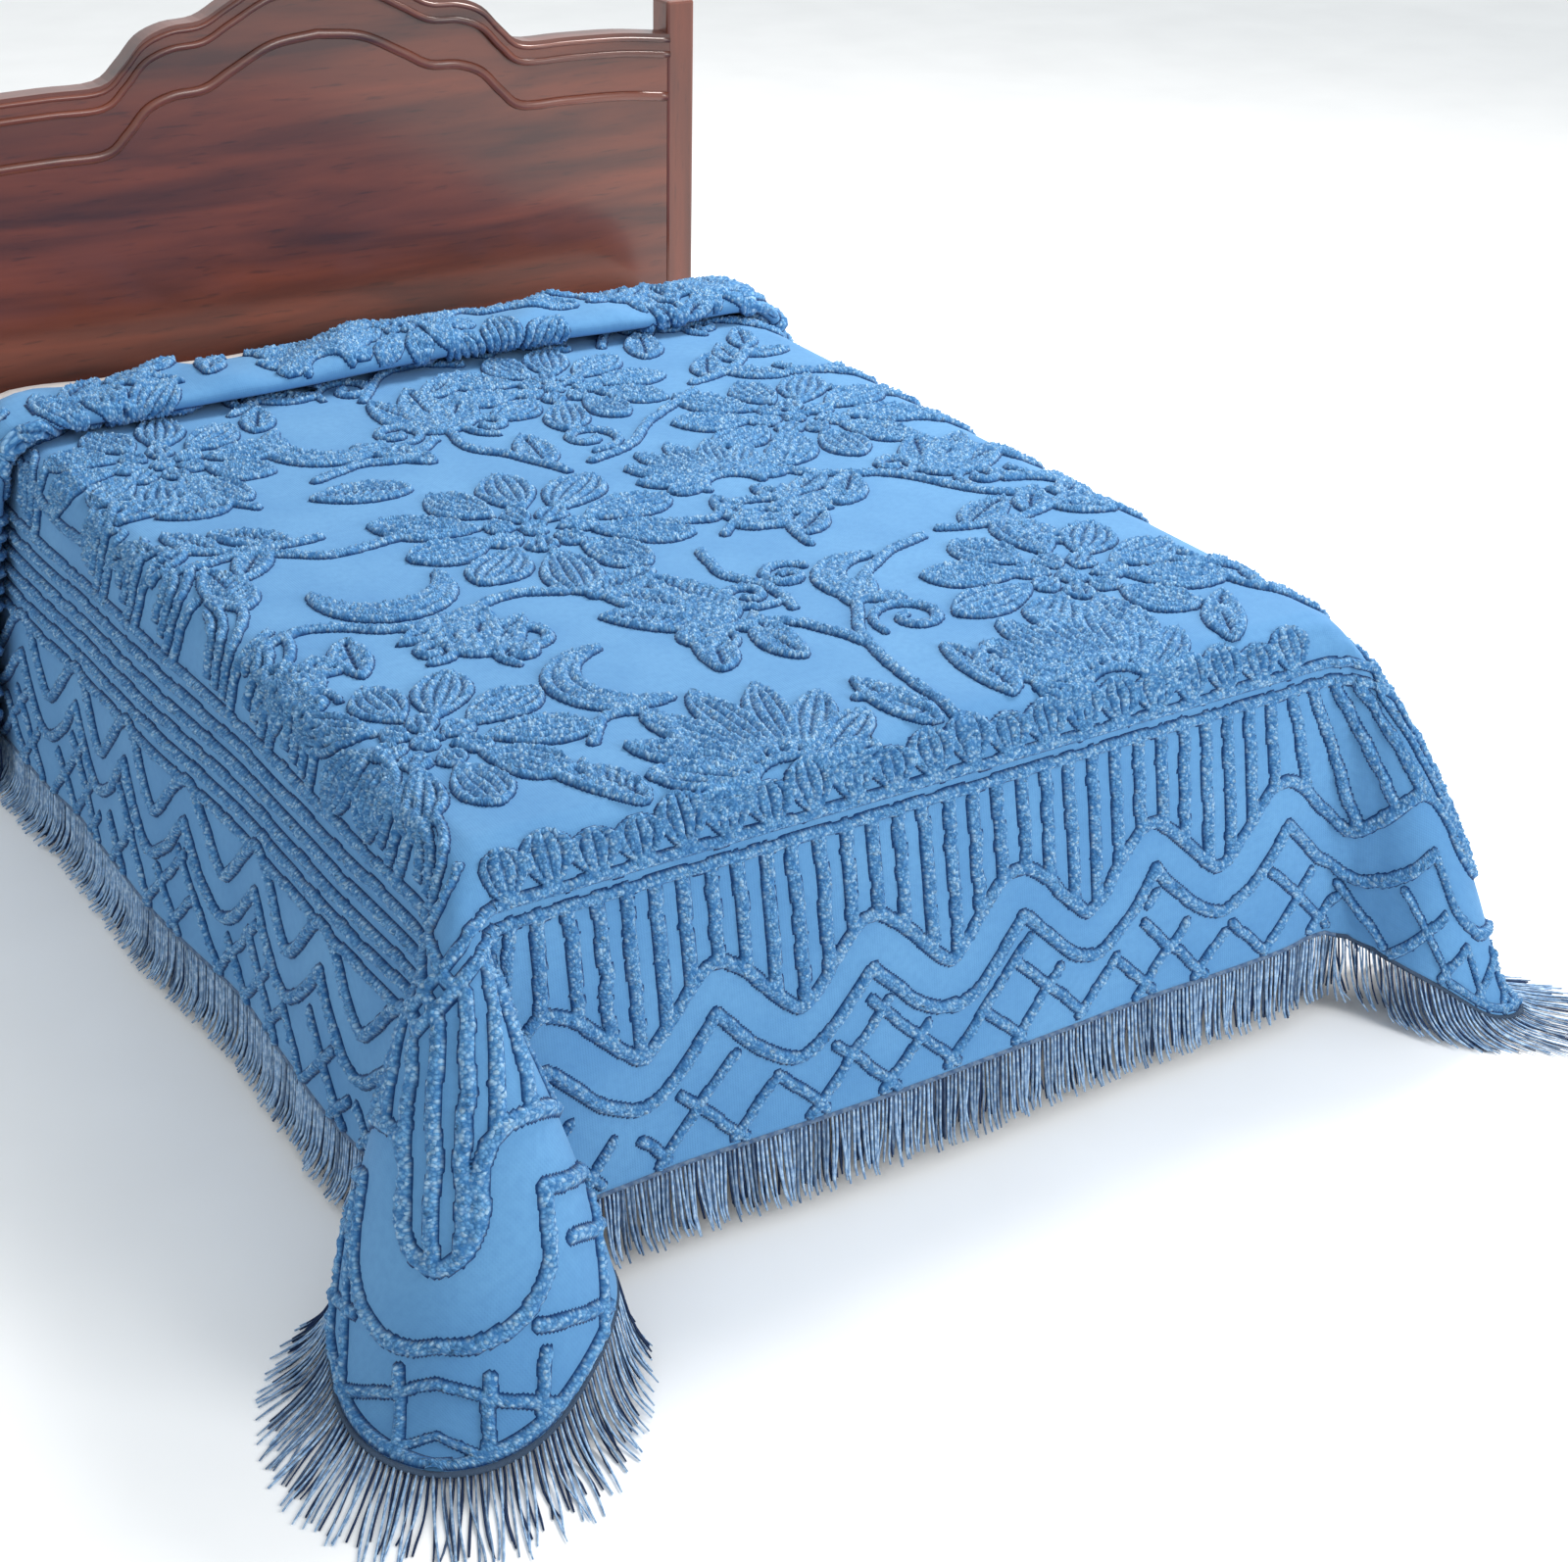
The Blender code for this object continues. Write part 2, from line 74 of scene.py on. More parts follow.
def camera_matrix():
    """Right, up and back from the turn about Z, the tilt down and the roll, as columns."""
    ahead = np.array([math.sin(CAMERA_TURN), math.cos(CAMERA_TURN), 0])
    level = np.array([math.cos(CAMERA_TURN), -math.sin(CAMERA_TURN), 0])
    upright = np.array([0, 0, 1])
    look = math.cos(CAMERA_DOWN) * ahead - math.sin(CAMERA_DOWN) * upright
    top = math.sin(CAMERA_DOWN) * ahead + math.cos(CAMERA_DOWN) * upright
    right = math.cos(CAMERA_ROLL) * level + math.sin(CAMERA_ROLL) * top
    up = math.cos(CAMERA_ROLL) * top - math.sin(CAMERA_ROLL) * level
    matrix = np.eye(4)
    matrix[:3, 0], matrix[:3, 1], matrix[:3, 2], matrix[:3, 3] = right, up, -look, CAMERA_PLACE
    return Matrix(matrix.tolist())


lens = bpy.data.cameras.new("camera")
lens.lens = CAMERA_LENS
lens.sensor_width = CAMERA_SENSOR
camera = bpy.data.objects.new("camera", lens)
bpy.context.scene.collection.objects.link(camera)
camera.matrix_world = camera_matrix()
bpy.context.scene.camera = camera
print("camera at", CAMERA_PLACE)

# %% [markdown]
# Every new piece is a set of points and faces worked out with numpy. One helper turns them into
# an object. It can carry a UV map, which here is the cloth laid flat in metres, and a number at
# each point, such as how tall the pile stands there.

# %% Helper: points and faces into a piece
def new_piece(name, points, faces, material, plan=None, measure=None, smooth=True):
    """A mesh at the origin from rows of points and rows of faces, all with the same side count."""
    points = np.asarray(points, np.float32).reshape(-1, 3)
    faces = np.asarray(faces, np.int32)
    sides = faces.shape[1]
    mesh = bpy.data.meshes.new(name)
    mesh.vertices.add(len(points))
    mesh.vertices.foreach_set("co", points.ravel())
    mesh.loops.add(faces.size)
    mesh.loops.foreach_set("vertex_index", faces.ravel())
    mesh.polygons.add(len(faces))
    mesh.polygons.foreach_set("loop_start", np.arange(0, faces.size, sides, dtype=np.int32))
    mesh.polygons.foreach_set("use_smooth", np.full(len(faces), smooth))
    mesh.update(calc_edges=True)
    if plan is not None:
        layer = mesh.uv_layers.new(name="plan")
        layer.data.foreach_set("uv", np.asarray(plan, np.float32)[faces.ravel()].ravel())
    if measure is not None:
        kept = mesh.attributes.new(measure[0], "FLOAT", "POINT")
        kept.data.foreach_set("value", np.asarray(measure[1], np.float32))
    mesh.materials.append(material)
    piece = bpy.data.objects.new(name, mesh)
    bpy.context.scene.collection.objects.link(piece)
    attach(piece, "root")
    print(name, len(points), "points,", len(faces) * (sides - 2), "triangles")
    return piece


def grid_faces(rows, columns, closed=False):
    """Quads between neighbours in a grid stored by rows. Closed also joins last column to first."""
    across = np.arange(columns if closed else columns - 1)
    first = np.arange(rows - 1)[:, None] * columns + across
    beside = np.arange(rows - 1)[:, None] * columns + (across + 1) % columns
    return np.stack([first, beside, beside + columns, first + columns], -1).reshape(-1, 4)


# %% [markdown]
# A material is a small graph of nodes. One helper adds a node, sets it up, and fills its inputs,
# so each finish below reads as a list of what is layered on what. Colours are written as the
# hex values that a paint program shows, and turned into the linear light that Blender works in.

# %% Helpers: colours and nodes
def linear(hex_colour):
    """An sRGB hex value in linear light: c / 12.92 when dark, else ((c + 0.055) / 1.055) ** 2.4."""
    values = [int(hex_colour[i : i + 2], 16) / 255 for i in (1, 3, 5)]
    return tuple(c / 12.92 if c <= 0.04045 else ((c + 0.055) / 1.055) ** 2.4 for c in values) + (1,)


def fill_inputs(tree, node, inputs):
    """Links each socket among the inputs, and sets anything else as a value."""
    for name, value in inputs.items():
        if isinstance(value, bpy.types.NodeSocket):
            tree.links.new(value, node.inputs[name])
        else:
            node.inputs[name].default_value = value


def add_node(tree, kind, inputs=None, **settings):
    """Adds a node, sets it up and fills its inputs."""
    node = tree.nodes.new(kind)
    for name, value in settings.items():
        setattr(node, name, value)
    fill_inputs(tree, node, inputs or {})
    return node


def new_material(name):
    """An empty material with a Principled shader: (material, its node tree, the shader)."""
    material = bpy.data.materials.new(name)
    material.use_nodes = True
    return material, material.node_tree, material.node_tree.nodes["Principled BSDF"]


Layer = namedtuple("Layer", "value low high share colour")


def layered(tree, base, layers):
    """Colours laid over a base. A layer's share is 0 where its value is low and full where high."""
    tint = linear(base)
    for layer in layers:
        spread = {0: layer.value, 1: layer.low, 2: layer.high, 3: 0.0, 4: layer.share}
        share = add_node(tree, "ShaderNodeMapRange", spread).outputs[0]
        blend = {0: share, 6: tint, 7: linear(layer.colour)}
        tint = add_node(tree, "ShaderNodeMix", blend, data_type="RGBA").outputs[2]
    return tint


print("mid grey #808080 is", round(linear("#808080")[0], 3), "in linear light")

# %% [markdown]
# The ground cloth is plain-woven cotton sheeting, dyed a mid blue after tufting. It is matt,
# with a soft bloom of loose fibre that lightens it where it turns away from the eye. Its threads
# are about 0.6 mm apart, too fine to show at this distance, so they are drawn at 2 mm.
#
# Blender's wave texture at a scale of 1 / (6.283 L) repeats about every 2 L, and about every 4 L
# when its bands are diagonal. So L is one thread here: one goes over and the next one under.

# %% Material: cotton ground
WAVE = 6.283
THREAD = 0.002
SLUB = 0.011
DYE_BLOTCH = 0.20


def cotton_ground():
    """Two crossed waves for the threads, and noise for the slubs and for uneven dye."""
    material, tree, shader = new_material("dyed_cotton_sheeting")
    plan = add_node(tree, "ShaderNodeUVMap", uv_map="plan").outputs[0]
    blotches = {"Vector": plan, "Scale": 1 / DYE_BLOTCH, "Detail": 3.0}
    blotch = add_node(tree, "ShaderNodeTexNoise", blotches).outputs[0]
    thick_places = {"Vector": plan, "Scale": 1 / SLUB, "Detail": 4.0}
    slubs = add_node(tree, "ShaderNodeTexNoise", thick_places).outputs[0]
    threads = {"Vector": plan, "Scale": 1 / THREAD / WAVE, "Distortion": 0.6}
    weft = add_node(tree, "ShaderNodeTexWave", threads, bands_direction="X").outputs[1]
    warp = add_node(tree, "ShaderNodeTexWave", threads, bands_direction="Y").outputs[1]
    weave = add_node(tree, "ShaderNodeMath", {0: weft, 1: warp}, operation="MULTIPLY").outputs[0]
    both = {0: slubs, 1: 1.6, 2: weave}
    grain = add_node(tree, "ShaderNodeMath", both, operation="MULTIPLY_ADD").outputs[0]
    relief = {"Strength": 0.35, "Distance": 0.0006, "Height": grain}
    fill_inputs(tree, shader, {
        "Base Color": layered(tree, "#5589B8", [
            Layer(blotch, 0.35, 0.65, 1.0, "#5F93C0"),
            Layer(slubs, 0.40, 0.75, 0.30, "#4A7AAB"),
        ]),
        "Normal": add_node(tree, "ShaderNodeBump", relief).outputs[0],
        "Roughness": 0.9,
        "Specular IOR Level": 0.2,
        "Sheen Weight": 0.08,
    })
    return material


COTTON_GROUND = cotton_ground()
print("material", COTTON_GROUND.name)

# %% [markdown]
# Chenille yarn is a bundle of soft cotton whose cut ends bloom into tufts about 4 mm across. The
# crowns of the tufts have nearly the ground's colour. Light sinks between them and at the foot of
# each rope, and there the colour is painted down to navy as painted shade; a few tufts, chosen at
# random, are painted pale as painted highlights.

# %% Material: chenille pile
TUFT = 0.0044
FIBRE = 1 / 520


def chenille_pile():
    """A cell for each tuft, with painted shade at its edge and a painted highlight on some, fine
    noise for its fibre, and the pile's height for painted shade at its foot.
    """
    material, tree, shader = new_material("cut_chenille_yarn")
    plan = add_node(tree, "ShaderNodeUVMap", uv_map="plan").outputs[0]
    height = add_node(tree, "ShaderNodeAttribute", attribute_name="pile").outputs[2]
    cells = {"Vector": plan, "Scale": 1 / TUFT, "Randomness": 1.0}
    tufts = add_node(tree, "ShaderNodeTexVoronoi", cells).outputs
    from_middle = tufts[0]
    chance_tuft = add_node(tree, "ShaderNodeSeparateColor", {0: tufts[1]}).outputs[0]
    fluff = {"Vector": plan, "Scale": 1 / FIBRE, "Detail": 3.0}
    fibre = add_node(tree, "ShaderNodeTexNoise", fluff).outputs[0]
    dome = {0: from_middle, 1: 0.0, 2: 0.62, 3: 1.0, 4: 0.0}
    crown = add_node(tree, "ShaderNodeMapRange", dome).outputs[0]
    both = {0: fibre, 1: 0.35, 2: crown}
    nap = add_node(tree, "ShaderNodeMath", both, operation="MULTIPLY_ADD").outputs[0]
    relief = {"Strength": 0.8, "Distance": 0.0030, "Height": nap}
    fill_inputs(tree, shader, {
        "Base Color": layered(tree, "#5893C6", [
            Layer(fibre, 0.35, 0.65, 1.0, "#74A9D6"),
            # Painted highlight: a few tufts, chosen at random, are painted pale.
            Layer(chance_tuft, 0.58, 0.97, 0.65, "#B2D2E8"),
            Layer(chance_tuft, 0.42, 0.06, 0.62, "#28629B"),
            # Painted shade: each tuft is darker towards its edge, where light sinks between tufts.
            Layer(from_middle, 0.38, 0.68, 0.65, "#285F95"),
            # Painted shade: the pile turns navy at the foot of each rope, where it is low.
            Layer(height, 0.0062, 0.0014, 0.95, "#0D2F5E"),
        ]),
        "Normal": add_node(tree, "ShaderNodeBump", relief).outputs[0],
        "Roughness": 1.0,
        "Specular IOR Level": 0.1,
        "Sheen Weight": 0.1,
    })
    return material


CHENILLE_PILE = chenille_pile()
print("material", CHENILLE_PILE.name)

# %% [markdown]
# The fringe is cut from twisted cotton cord, greyer than the cloth because deep gaps lie between
# its strands. Its UV map runs along each strand in metres, so slanting bands there look like the
# cord's twist. A real cord turns once every 7 mm or so. That is too fine to show, so a band is
# drawn for every four turns. Each strand also carries a tone that varies at random, and the
# strands of the back row are painted dark as painted shade.

# %% Material: twisted fringe cord
TWIST = 0.007
CORD_MOTTLE = 1 / 160


def fringe_cord():
    """Slanting bands for the twist, soft mottling, each strand's random tone, and painted shade on
    the back row.
    """
    material, tree, shader = new_material("twisted_cotton_cord")
    plan = add_node(tree, "ShaderNodeUVMap", uv_map="plan").outputs[0]
    turns = {"Vector": plan, "Scale": 1 / TWIST / WAVE, "Distortion": 0.4}
    twist = add_node(tree, "ShaderNodeTexWave", turns, bands_direction="DIAGONAL").outputs[1]
    mottles = {"Vector": plan, "Scale": 1 / CORD_MOTTLE, "Detail": 2.0}
    mottle = add_node(tree, "ShaderNodeTexNoise", mottles).outputs[0]
    strand = add_node(tree, "ShaderNodeAttribute", attribute_name="cord_tone_and_painted_shade").outputs[2]
    relief = {"Strength": 0.8, "Distance": 0.0012, "Height": twist}
    fill_inputs(tree, shader, {
        "Base Color": layered(tree, "#7EA3CB", [
            Layer(mottle, 0.35, 0.65, 1.0, "#B6CEE4"),
            Layer(twist, 0.55, 0.0, 0.5, "#426A9A"),
            # Painted shade: strands of the back row turn navy; the front ones vary at random in
            # tone.
            Layer(strand, 0.20, 0.90, 0.96, "#0D2145"),
        ]),
        "Normal": add_node(tree, "ShaderNodeBump", relief).outputs[0],
        "Roughness": 0.9,
        "Specular IOR Level": 0.2,
    })
    return material


FRINGE_CORD = fringe_cord()
print("material", FRINGE_CORD.name)

# %% [markdown]
# Three more finishes belong to the bed: washed percale on the mattress, a plain woven cover on
# the base, and the headboard's mahogany. Polished mahogany is red-brown with long dark streaks
# along the grain under a hard gloss, so its colour is stretched noise and its gloss is a coat.
# Threads and pores are finer than the render shows, so they are drawn several times too wide.

# %% Materials: percale and base cover
CRUMPLE = 1 / 9
PERCALE_THREAD = 0.002
COVER_THREAD = 1 / 350


def percale():
    """Matt white, crumpled softly by one noise and woven by a finer one."""
    material, tree, shader = new_material("washed_percale")
    place = add_node(tree, "ShaderNodeTexCoord").outputs["Object"]
    creases = {"Vector": place, "Scale": 1 / CRUMPLE, "Detail": 4.0, "Distortion": 0.8}
    crumple = add_node(tree, "ShaderNodeTexNoise", creases).outputs[0]
    threads = {"Vector": place, "Scale": 1 / PERCALE_THREAD, "Detail": 2.0}
    weave = add_node(tree, "ShaderNodeTexNoise", threads).outputs[0]
    both = {0: weave, 1: 0.06, 2: crumple}
    height = add_node(tree, "ShaderNodeMath", both, operation="MULTIPLY_ADD").outputs[0]
    relief = {"Strength": 0.5, "Distance": 0.012, "Height": height}
    fill_inputs(tree, shader, {
        "Base Color": layered(tree, "#D3D0D0", [Layer(crumple, 0.3, 0.7, 1.0, "#E6E3E0")]),
        "Normal": add_node(tree, "ShaderNodeBump", relief).outputs[0],
        "Roughness": 0.8,
    })
    return material


def base_cover():
    """Matt grey-beige cloth with an uneven thread."""
    material, tree, shader = new_material("woven_base_cover")
    place = add_node(tree, "ShaderNodeTexCoord").outputs["Object"]
    yarn = {"Vector": place, "Scale": 1 / COVER_THREAD, "Detail": 3.0}
    threads = add_node(tree, "ShaderNodeTexNoise", yarn).outputs[0]
    relief = {"Strength": 0.5, "Distance": 0.001, "Height": threads}
    fill_inputs(tree, shader, {
        "Base Color": layered(tree, "#8F8A84", [Layer(threads, 0.35, 0.65, 1.0, "#A9A49D")]),
        "Normal": add_node(tree, "ShaderNodeBump", relief).outputs[0],
        "Roughness": 0.9,
    })
    return material


PERCALE = percale()
BASE_COVER = base_cover()
print("materials", PERCALE.name, BASE_COVER.name)

# %% Material: mahogany
STREAK = 1 / 14
PORE = 1 / 120
ALONG_GRAIN = 0.12


def mahogany(name, stretch):
    """Streaks and pores, drawn out along the axis whose stretch is small, under a clear coat."""
    material, tree, shader = new_material(name)
    place = add_node(tree, "ShaderNodeTexCoord").outputs["Object"]
    drawn = add_node(tree, "ShaderNodeMapping", {"Vector": place, "Scale": stretch}).outputs[0]
    figure = {"Vector": drawn, "Scale": 1 / STREAK, "Detail": 6.0, "Distortion": 0.5}
    streak = add_node(tree, "ShaderNodeTexNoise", figure).outputs[0]
    specks = {"Vector": drawn, "Scale": 1 / PORE, "Detail": 2.0}
    pores = add_node(tree, "ShaderNodeTexNoise", specks).outputs[0]
    relief = {"Strength": 0.15, "Distance": 0.0004, "Height": pores}
    fill_inputs(tree, shader, {
        "Base Color": layered(tree, "#42180E", [
            Layer(streak, 0.32, 0.68, 1.0, "#7A3821"),
            Layer(pores, 0.60, 0.75, 0.5, "#250C07"),
        ]),
        "Normal": add_node(tree, "ShaderNodeBump", relief).outputs[0],
        "Roughness": 0.38,
        "Coat Weight": 0.6,
        "Coat Roughness": 0.16,
    })
    return material


MAHOGANY_RAIL = mahogany("polished_mahogany_rail", (ALONG_GRAIN, 1.0, 1.0))
MAHOGANY_POST = mahogany("polished_mahogany_post", (1.0, 1.0, ALONG_GRAIN))
print("materials", MAHOGANY_RAIL.name, MAHOGANY_POST.name)

# %% [markdown]
# Now the drape. The solid bedspread was laid over the bed by a function: give it a place on the
# flat cloth, p across and q along, and it gives the point in the room. The same function and the
# same sizes are repeated here, because then fine cloth, pile and fringe lie exactly on the solid.
#
# Past one edge of the bed the cloth drops with a slight flare. Past two edges, at a foot corner,
# it swings round the plan of that corner's fold, and what would pass the floor lies on it.

# %% Sizes of the bed and the drape
BED_WIDTH = 1.50
BED_LENGTH = 2.03
FOOT = -BED_LENGTH / 2
CLOTH_TOP = 0.645
CLOTH_THICKNESS = 0.003
DROP = 0.51
CORNER_RADIUS = 0.21
SHIFT_LEFT = 0.022
SHIFT_HEAD = 0.025
SHIFT_START = -0.40
SHIFT_RUN = 1.0
SKEW_FOOT = 0.010
SKEW_RUN = 1.2
BEND = 0.075
BEND_STEPS = 5
CREASE = FOOT + 1.65
FLOOR_CLEARANCE = 0.0005
SLOPE_STEP = 0.004
PLAN_STEPS = 12
FLARE_REACH = 0.70
FLARE_EASE = 0.30
SIDE_FLARE = 0.075
FOOT_FLARE = 0.112
LEFT_STRETCH = 0.15
RIGHT_STRETCH = 0.18
RIGHT_EASE = 0.5

CornerRow = namedtuple("CornerRow", "angle past_side past_foot")
LEFT_CORNER = [
    CornerRow(0, SIDE_FLARE, 0.000),
    CornerRow(8, 0.140, -0.025),
    CornerRow(16, 0.205, -0.005),
    CornerRow(25, 0.242, 0.075),
    CornerRow(35, 0.245, 0.190),
    CornerRow(45, 0.190, 0.305),
    CornerRow(55, 0.075, 0.350),
    CornerRow(65, -0.040, 0.325),
    CornerRow(74, -0.122, 0.250),
    CornerRow(82, -0.105, 0.160),
    CornerRow(90, 0.000, FOOT_FLARE),
]
RIGHT_CORNER = [
    CornerRow(0, SIDE_FLARE, 0.000),
    CornerRow(12, 0.150, 0.040),
    CornerRow(24, 0.205, 0.110),
    CornerRow(36, 0.220, 0.180),
    CornerRow(47, 0.205, 0.245),
    CornerRow(57, 0.150, 0.265),
    CornerRow(68, 0.090, 0.265),
    CornerRow(80, 0.032, 0.225),
    CornerRow(90, 0.000, FOOT_FLARE),
]
DropFold = namedtuple("DropFold", "place width depth")
SIDE_FOLDS = [
    DropFold(-0.72, 0.10, 0.012),
    DropFold(-0.38, 0.09, -0.014),
    DropFold(-0.05, 0.13, 0.012),
    DropFold(0.32, 0.08, -0.012),
]
FOOT_FOLDS = [
    DropFold(-0.46, 0.10, -0.010),
    DropFold(-0.10, 0.16, 0.008),
    DropFold(0.34, 0.09, -0.008),
    DropFold(0.700, 0.030, -0.040),
]
Wave = namedtuple("Wave", "size turns start")
CREASE_WAVES = [Wave(0.010, 4.1, 0.6), Wave(0.005, 9.7, 0.0)]
FOLD_WAVES = [Wave(0.12, 5.3, 1.0)]
CREASE_EASE = 0.05

# Soft ridges (+) and troughs (-) where the head fold's roll is gathered. ROLL_TOP is where its
# upper layer starts, along the cloth, and the gathers grow from nothing just before that.
ROLL_TOP = 1.05
ROLL_EASE = 0.05
ROLL_BEFORE = 0.08
Gather = namedtuple("Gather", "p lean width rise")
GATHERS = [
    Gather(-0.70, 0.7, 0.036, 0.010),
    Gather(-0.60, -0.4, 0.040, -0.005),
    Gather(-0.47, 0.9, 0.034, 0.009),
    Gather(-0.33, -0.6, 0.046, 0.007),
    Gather(-0.20, 0.8, 0.036, -0.006),
    Gather(-0.07, 0.5, 0.040, 0.009),
    Gather(0.08, -0.8, 0.044, 0.006),
    Gather(0.20, 0.6, 0.036, -0.005),
    Gather(0.31, 0.9, 0.038, 0.009),
    Gather(0.45, -0.5, 0.036, 0.007),
    Gather(0.57, 0.7, 0.034, -0.006),
    Gather(0.67, -0.7, 0.040, 0.010),
]
FOLD_STEPS = 10
FoldRow = namedtuple("FoldRow", "along up")
HEAD_FOLD = [
    FoldRow(-0.080, 0.000),
    FoldRow(0.000, 0.000),
    FoldRow(0.070, 0.000),
    FoldRow(0.125, 0.001),
    FoldRow(0.152, 0.007),
    FoldRow(0.158, 0.018),
    FoldRow(0.143, 0.027),
    FoldRow(0.095, 0.028),
    FoldRow(0.045, 0.023),
    FoldRow(0.010, 0.021),
    FoldRow(-0.008, 0.030),
    FoldRow(-0.004, 0.045),
    FoldRow(0.022, 0.054),
    FoldRow(0.070, 0.057),
    FoldRow(0.120, 0.053),
    FoldRow(0.160, 0.040),
    FoldRow(0.182, 0.022),
]
print("bed", BED_WIDTH, "x", BED_LENGTH, "m, cloth top", CLOTH_TOP, "m")


# %% The drape as a function
def smooth_path(rows, steps):
    """Catmull-Rom curve through the rows, with this many steps between two of them."""
    points = np.array(rows, float)
    ends = np.vstack([2 * points[0] - points[1], points, 2 * points[-1] - points[-2]])
    before, start, end, after = ends[:-3, None], ends[1:-2, None], ends[2:-1, None], ends[3:, None]
    t = np.linspace(0, 1, steps, endpoint=False)[None, :, None]
    curve = 0.5 * (
        2 * start
        + (end - before) * t
        + (2 * before - 5 * start + 4 * end - after) * t**2
        + (3 * start - before - 3 * end + after) * t**3
    )
    return np.vstack([curve.reshape(-1, points.shape[1]), points[-1:]])


def flare(slant):
    """Share of the full flare at this slant below the edge: fast first, then slower."""
    return slant * (1 - FLARE_EASE * slant / FLARE_REACH) / (FLARE_REACH * (1 - FLARE_EASE))


def fold_depth(folds, place):
    """Sum of bell curves, one for each soft fold of a drop."""
    return sum(row.depth * np.exp(-(((place - row.place) / row.width) ** 2)) for row in folds)


def waves(rows, place):
    """Sum of sine waves, one for each row, for an edge that isn't laid quite straight."""
    return sum(row.size * np.sin(row.turns * place + row.start) for row in rows)


CORNER_PLANS = {-1: smooth_path(LEFT_CORNER, PLAN_STEPS), 1: smooth_path(RIGHT_CORNER, PLAN_STEPS)}


def hung(s, y):
    """Flat inside the bed's outline; past it, down a slant and out by the flare, to the floor."""
    side = np.sign(s)
    across = np.maximum(np.abs(s) - BED_WIDTH / 2, 0)
    down = np.maximum(FOOT - y, 0)
    slant = np.hypot(across, down)
    angle = np.degrees(np.arctan2(down, across))
    corner = (across > 0) & (down > 0)
    out = np.where((across > 0) & (down == 0), SIDE_FLARE + fold_depth(SIDE_FOLDS, y), 0)
    forward = np.where((down > 0) & (across == 0), FOOT_FLARE + fold_depth(FOOT_FOLDS, s), 0)
    for mine, plan in CORNER_PLANS.items():
        here = corner & ((side < 0) == (mine < 0))
        out[here] = np.interp(angle[here], plan[:, 0], plan[:, 1])
        forward[here] = np.interp(angle[here], plan[:, 0], plan[:, 2])
    swing = np.maximum(np.sin(np.radians(2 * angle)), 0)
    stretch = np.where(side < 0, LEFT_STRETCH * swing, RIGHT_STRETCH * swing**RIGHT_EASE)
    slant = slant * (1 + np.where(corner, stretch, 0))
    share = flare(slant)
    out, forward = out * share, forward * share
    reach = np.hypot(out, forward)
    fall = np.sqrt(np.maximum(slant**2 - reach**2, 0))
    lowest = CLOTH_TOP - CLOTH_THICKNESS / 2 - FLOOR_CLEARANCE
    rest = np.maximum(fall - lowest, 0)
    spread = 1 + rest / np.maximum(reach, 1e-6)
    x = np.clip(s, -BED_WIDTH / 2, BED_WIDTH / 2) + side * out * spread
    y = np.maximum(y, FOOT) - forward * spread
    return np.stack([x, y, CLOTH_TOP - np.minimum(fall, lowest)], -1)


def draped(s, y):
    """The hung cloth averaged over a small square about each point, which rounds its edges."""
    steps = np.linspace(-1, 1, BEND_STEPS)
    weights = np.cos(steps * math.pi / 2 * 0.9)
    weights = weights / weights.sum()
    total = 0
    for step_s, weight_s in zip(steps, weights):
        for step_y, weight_y in zip(steps, weights):
            total = total + weight_s * weight_y * hung(s + step_s * BEND, y + step_y * BEND)
    return total


def cut_round(p, q):
    """Moves points of a square-cornered cloth so that its two foot corners are round."""
    across = np.maximum(np.abs(p) - BED_WIDTH / 2, 0)
    down = np.maximum(FOOT - q, 0)
    slant = np.hypot(across, down)
    angle = np.arctan2(down, across)
    square = DROP / np.maximum(np.cos(angle), np.sin(angle))
    inner = DROP - CORNER_RADIUS
    middle = inner * (np.cos(angle) + np.sin(angle))
    arc = middle + np.sqrt(np.maximum(middle**2 - 2 * inner**2 + CORNER_RADIUS**2, 0))
    straight = np.minimum(np.cos(angle), np.sin(angle)) * square <= inner
    reach = np.where(straight, square, arc)
    inside = 1 + (reach / square - 1) * np.minimum(slant / square, 1) ** 3
    past = (slant - square) * np.maximum(np.cos(angle), np.sin(angle))
    corner = (across > 0) & (down > 0)
    scale = np.where(slant > square, (reach + past) / np.maximum(slant, 1e-9), inside)
    scale = np.where(corner, scale, 1)
    p = np.where(corner, np.sign(p) * (BED_WIDTH / 2 + across * scale), p)
    q = np.where(corner, FOOT - down * scale, q)
    return p, q


def head_section():
    """Length along the folded section, and its along and up there."""
    path = smooth_path(HEAD_FOLD, FOLD_STEPS)
    lengths = np.concatenate([[0], np.cumsum(np.hypot(*np.diff(path, axis=0).T))])
    return lengths, path[:, 0], path[:, 1]


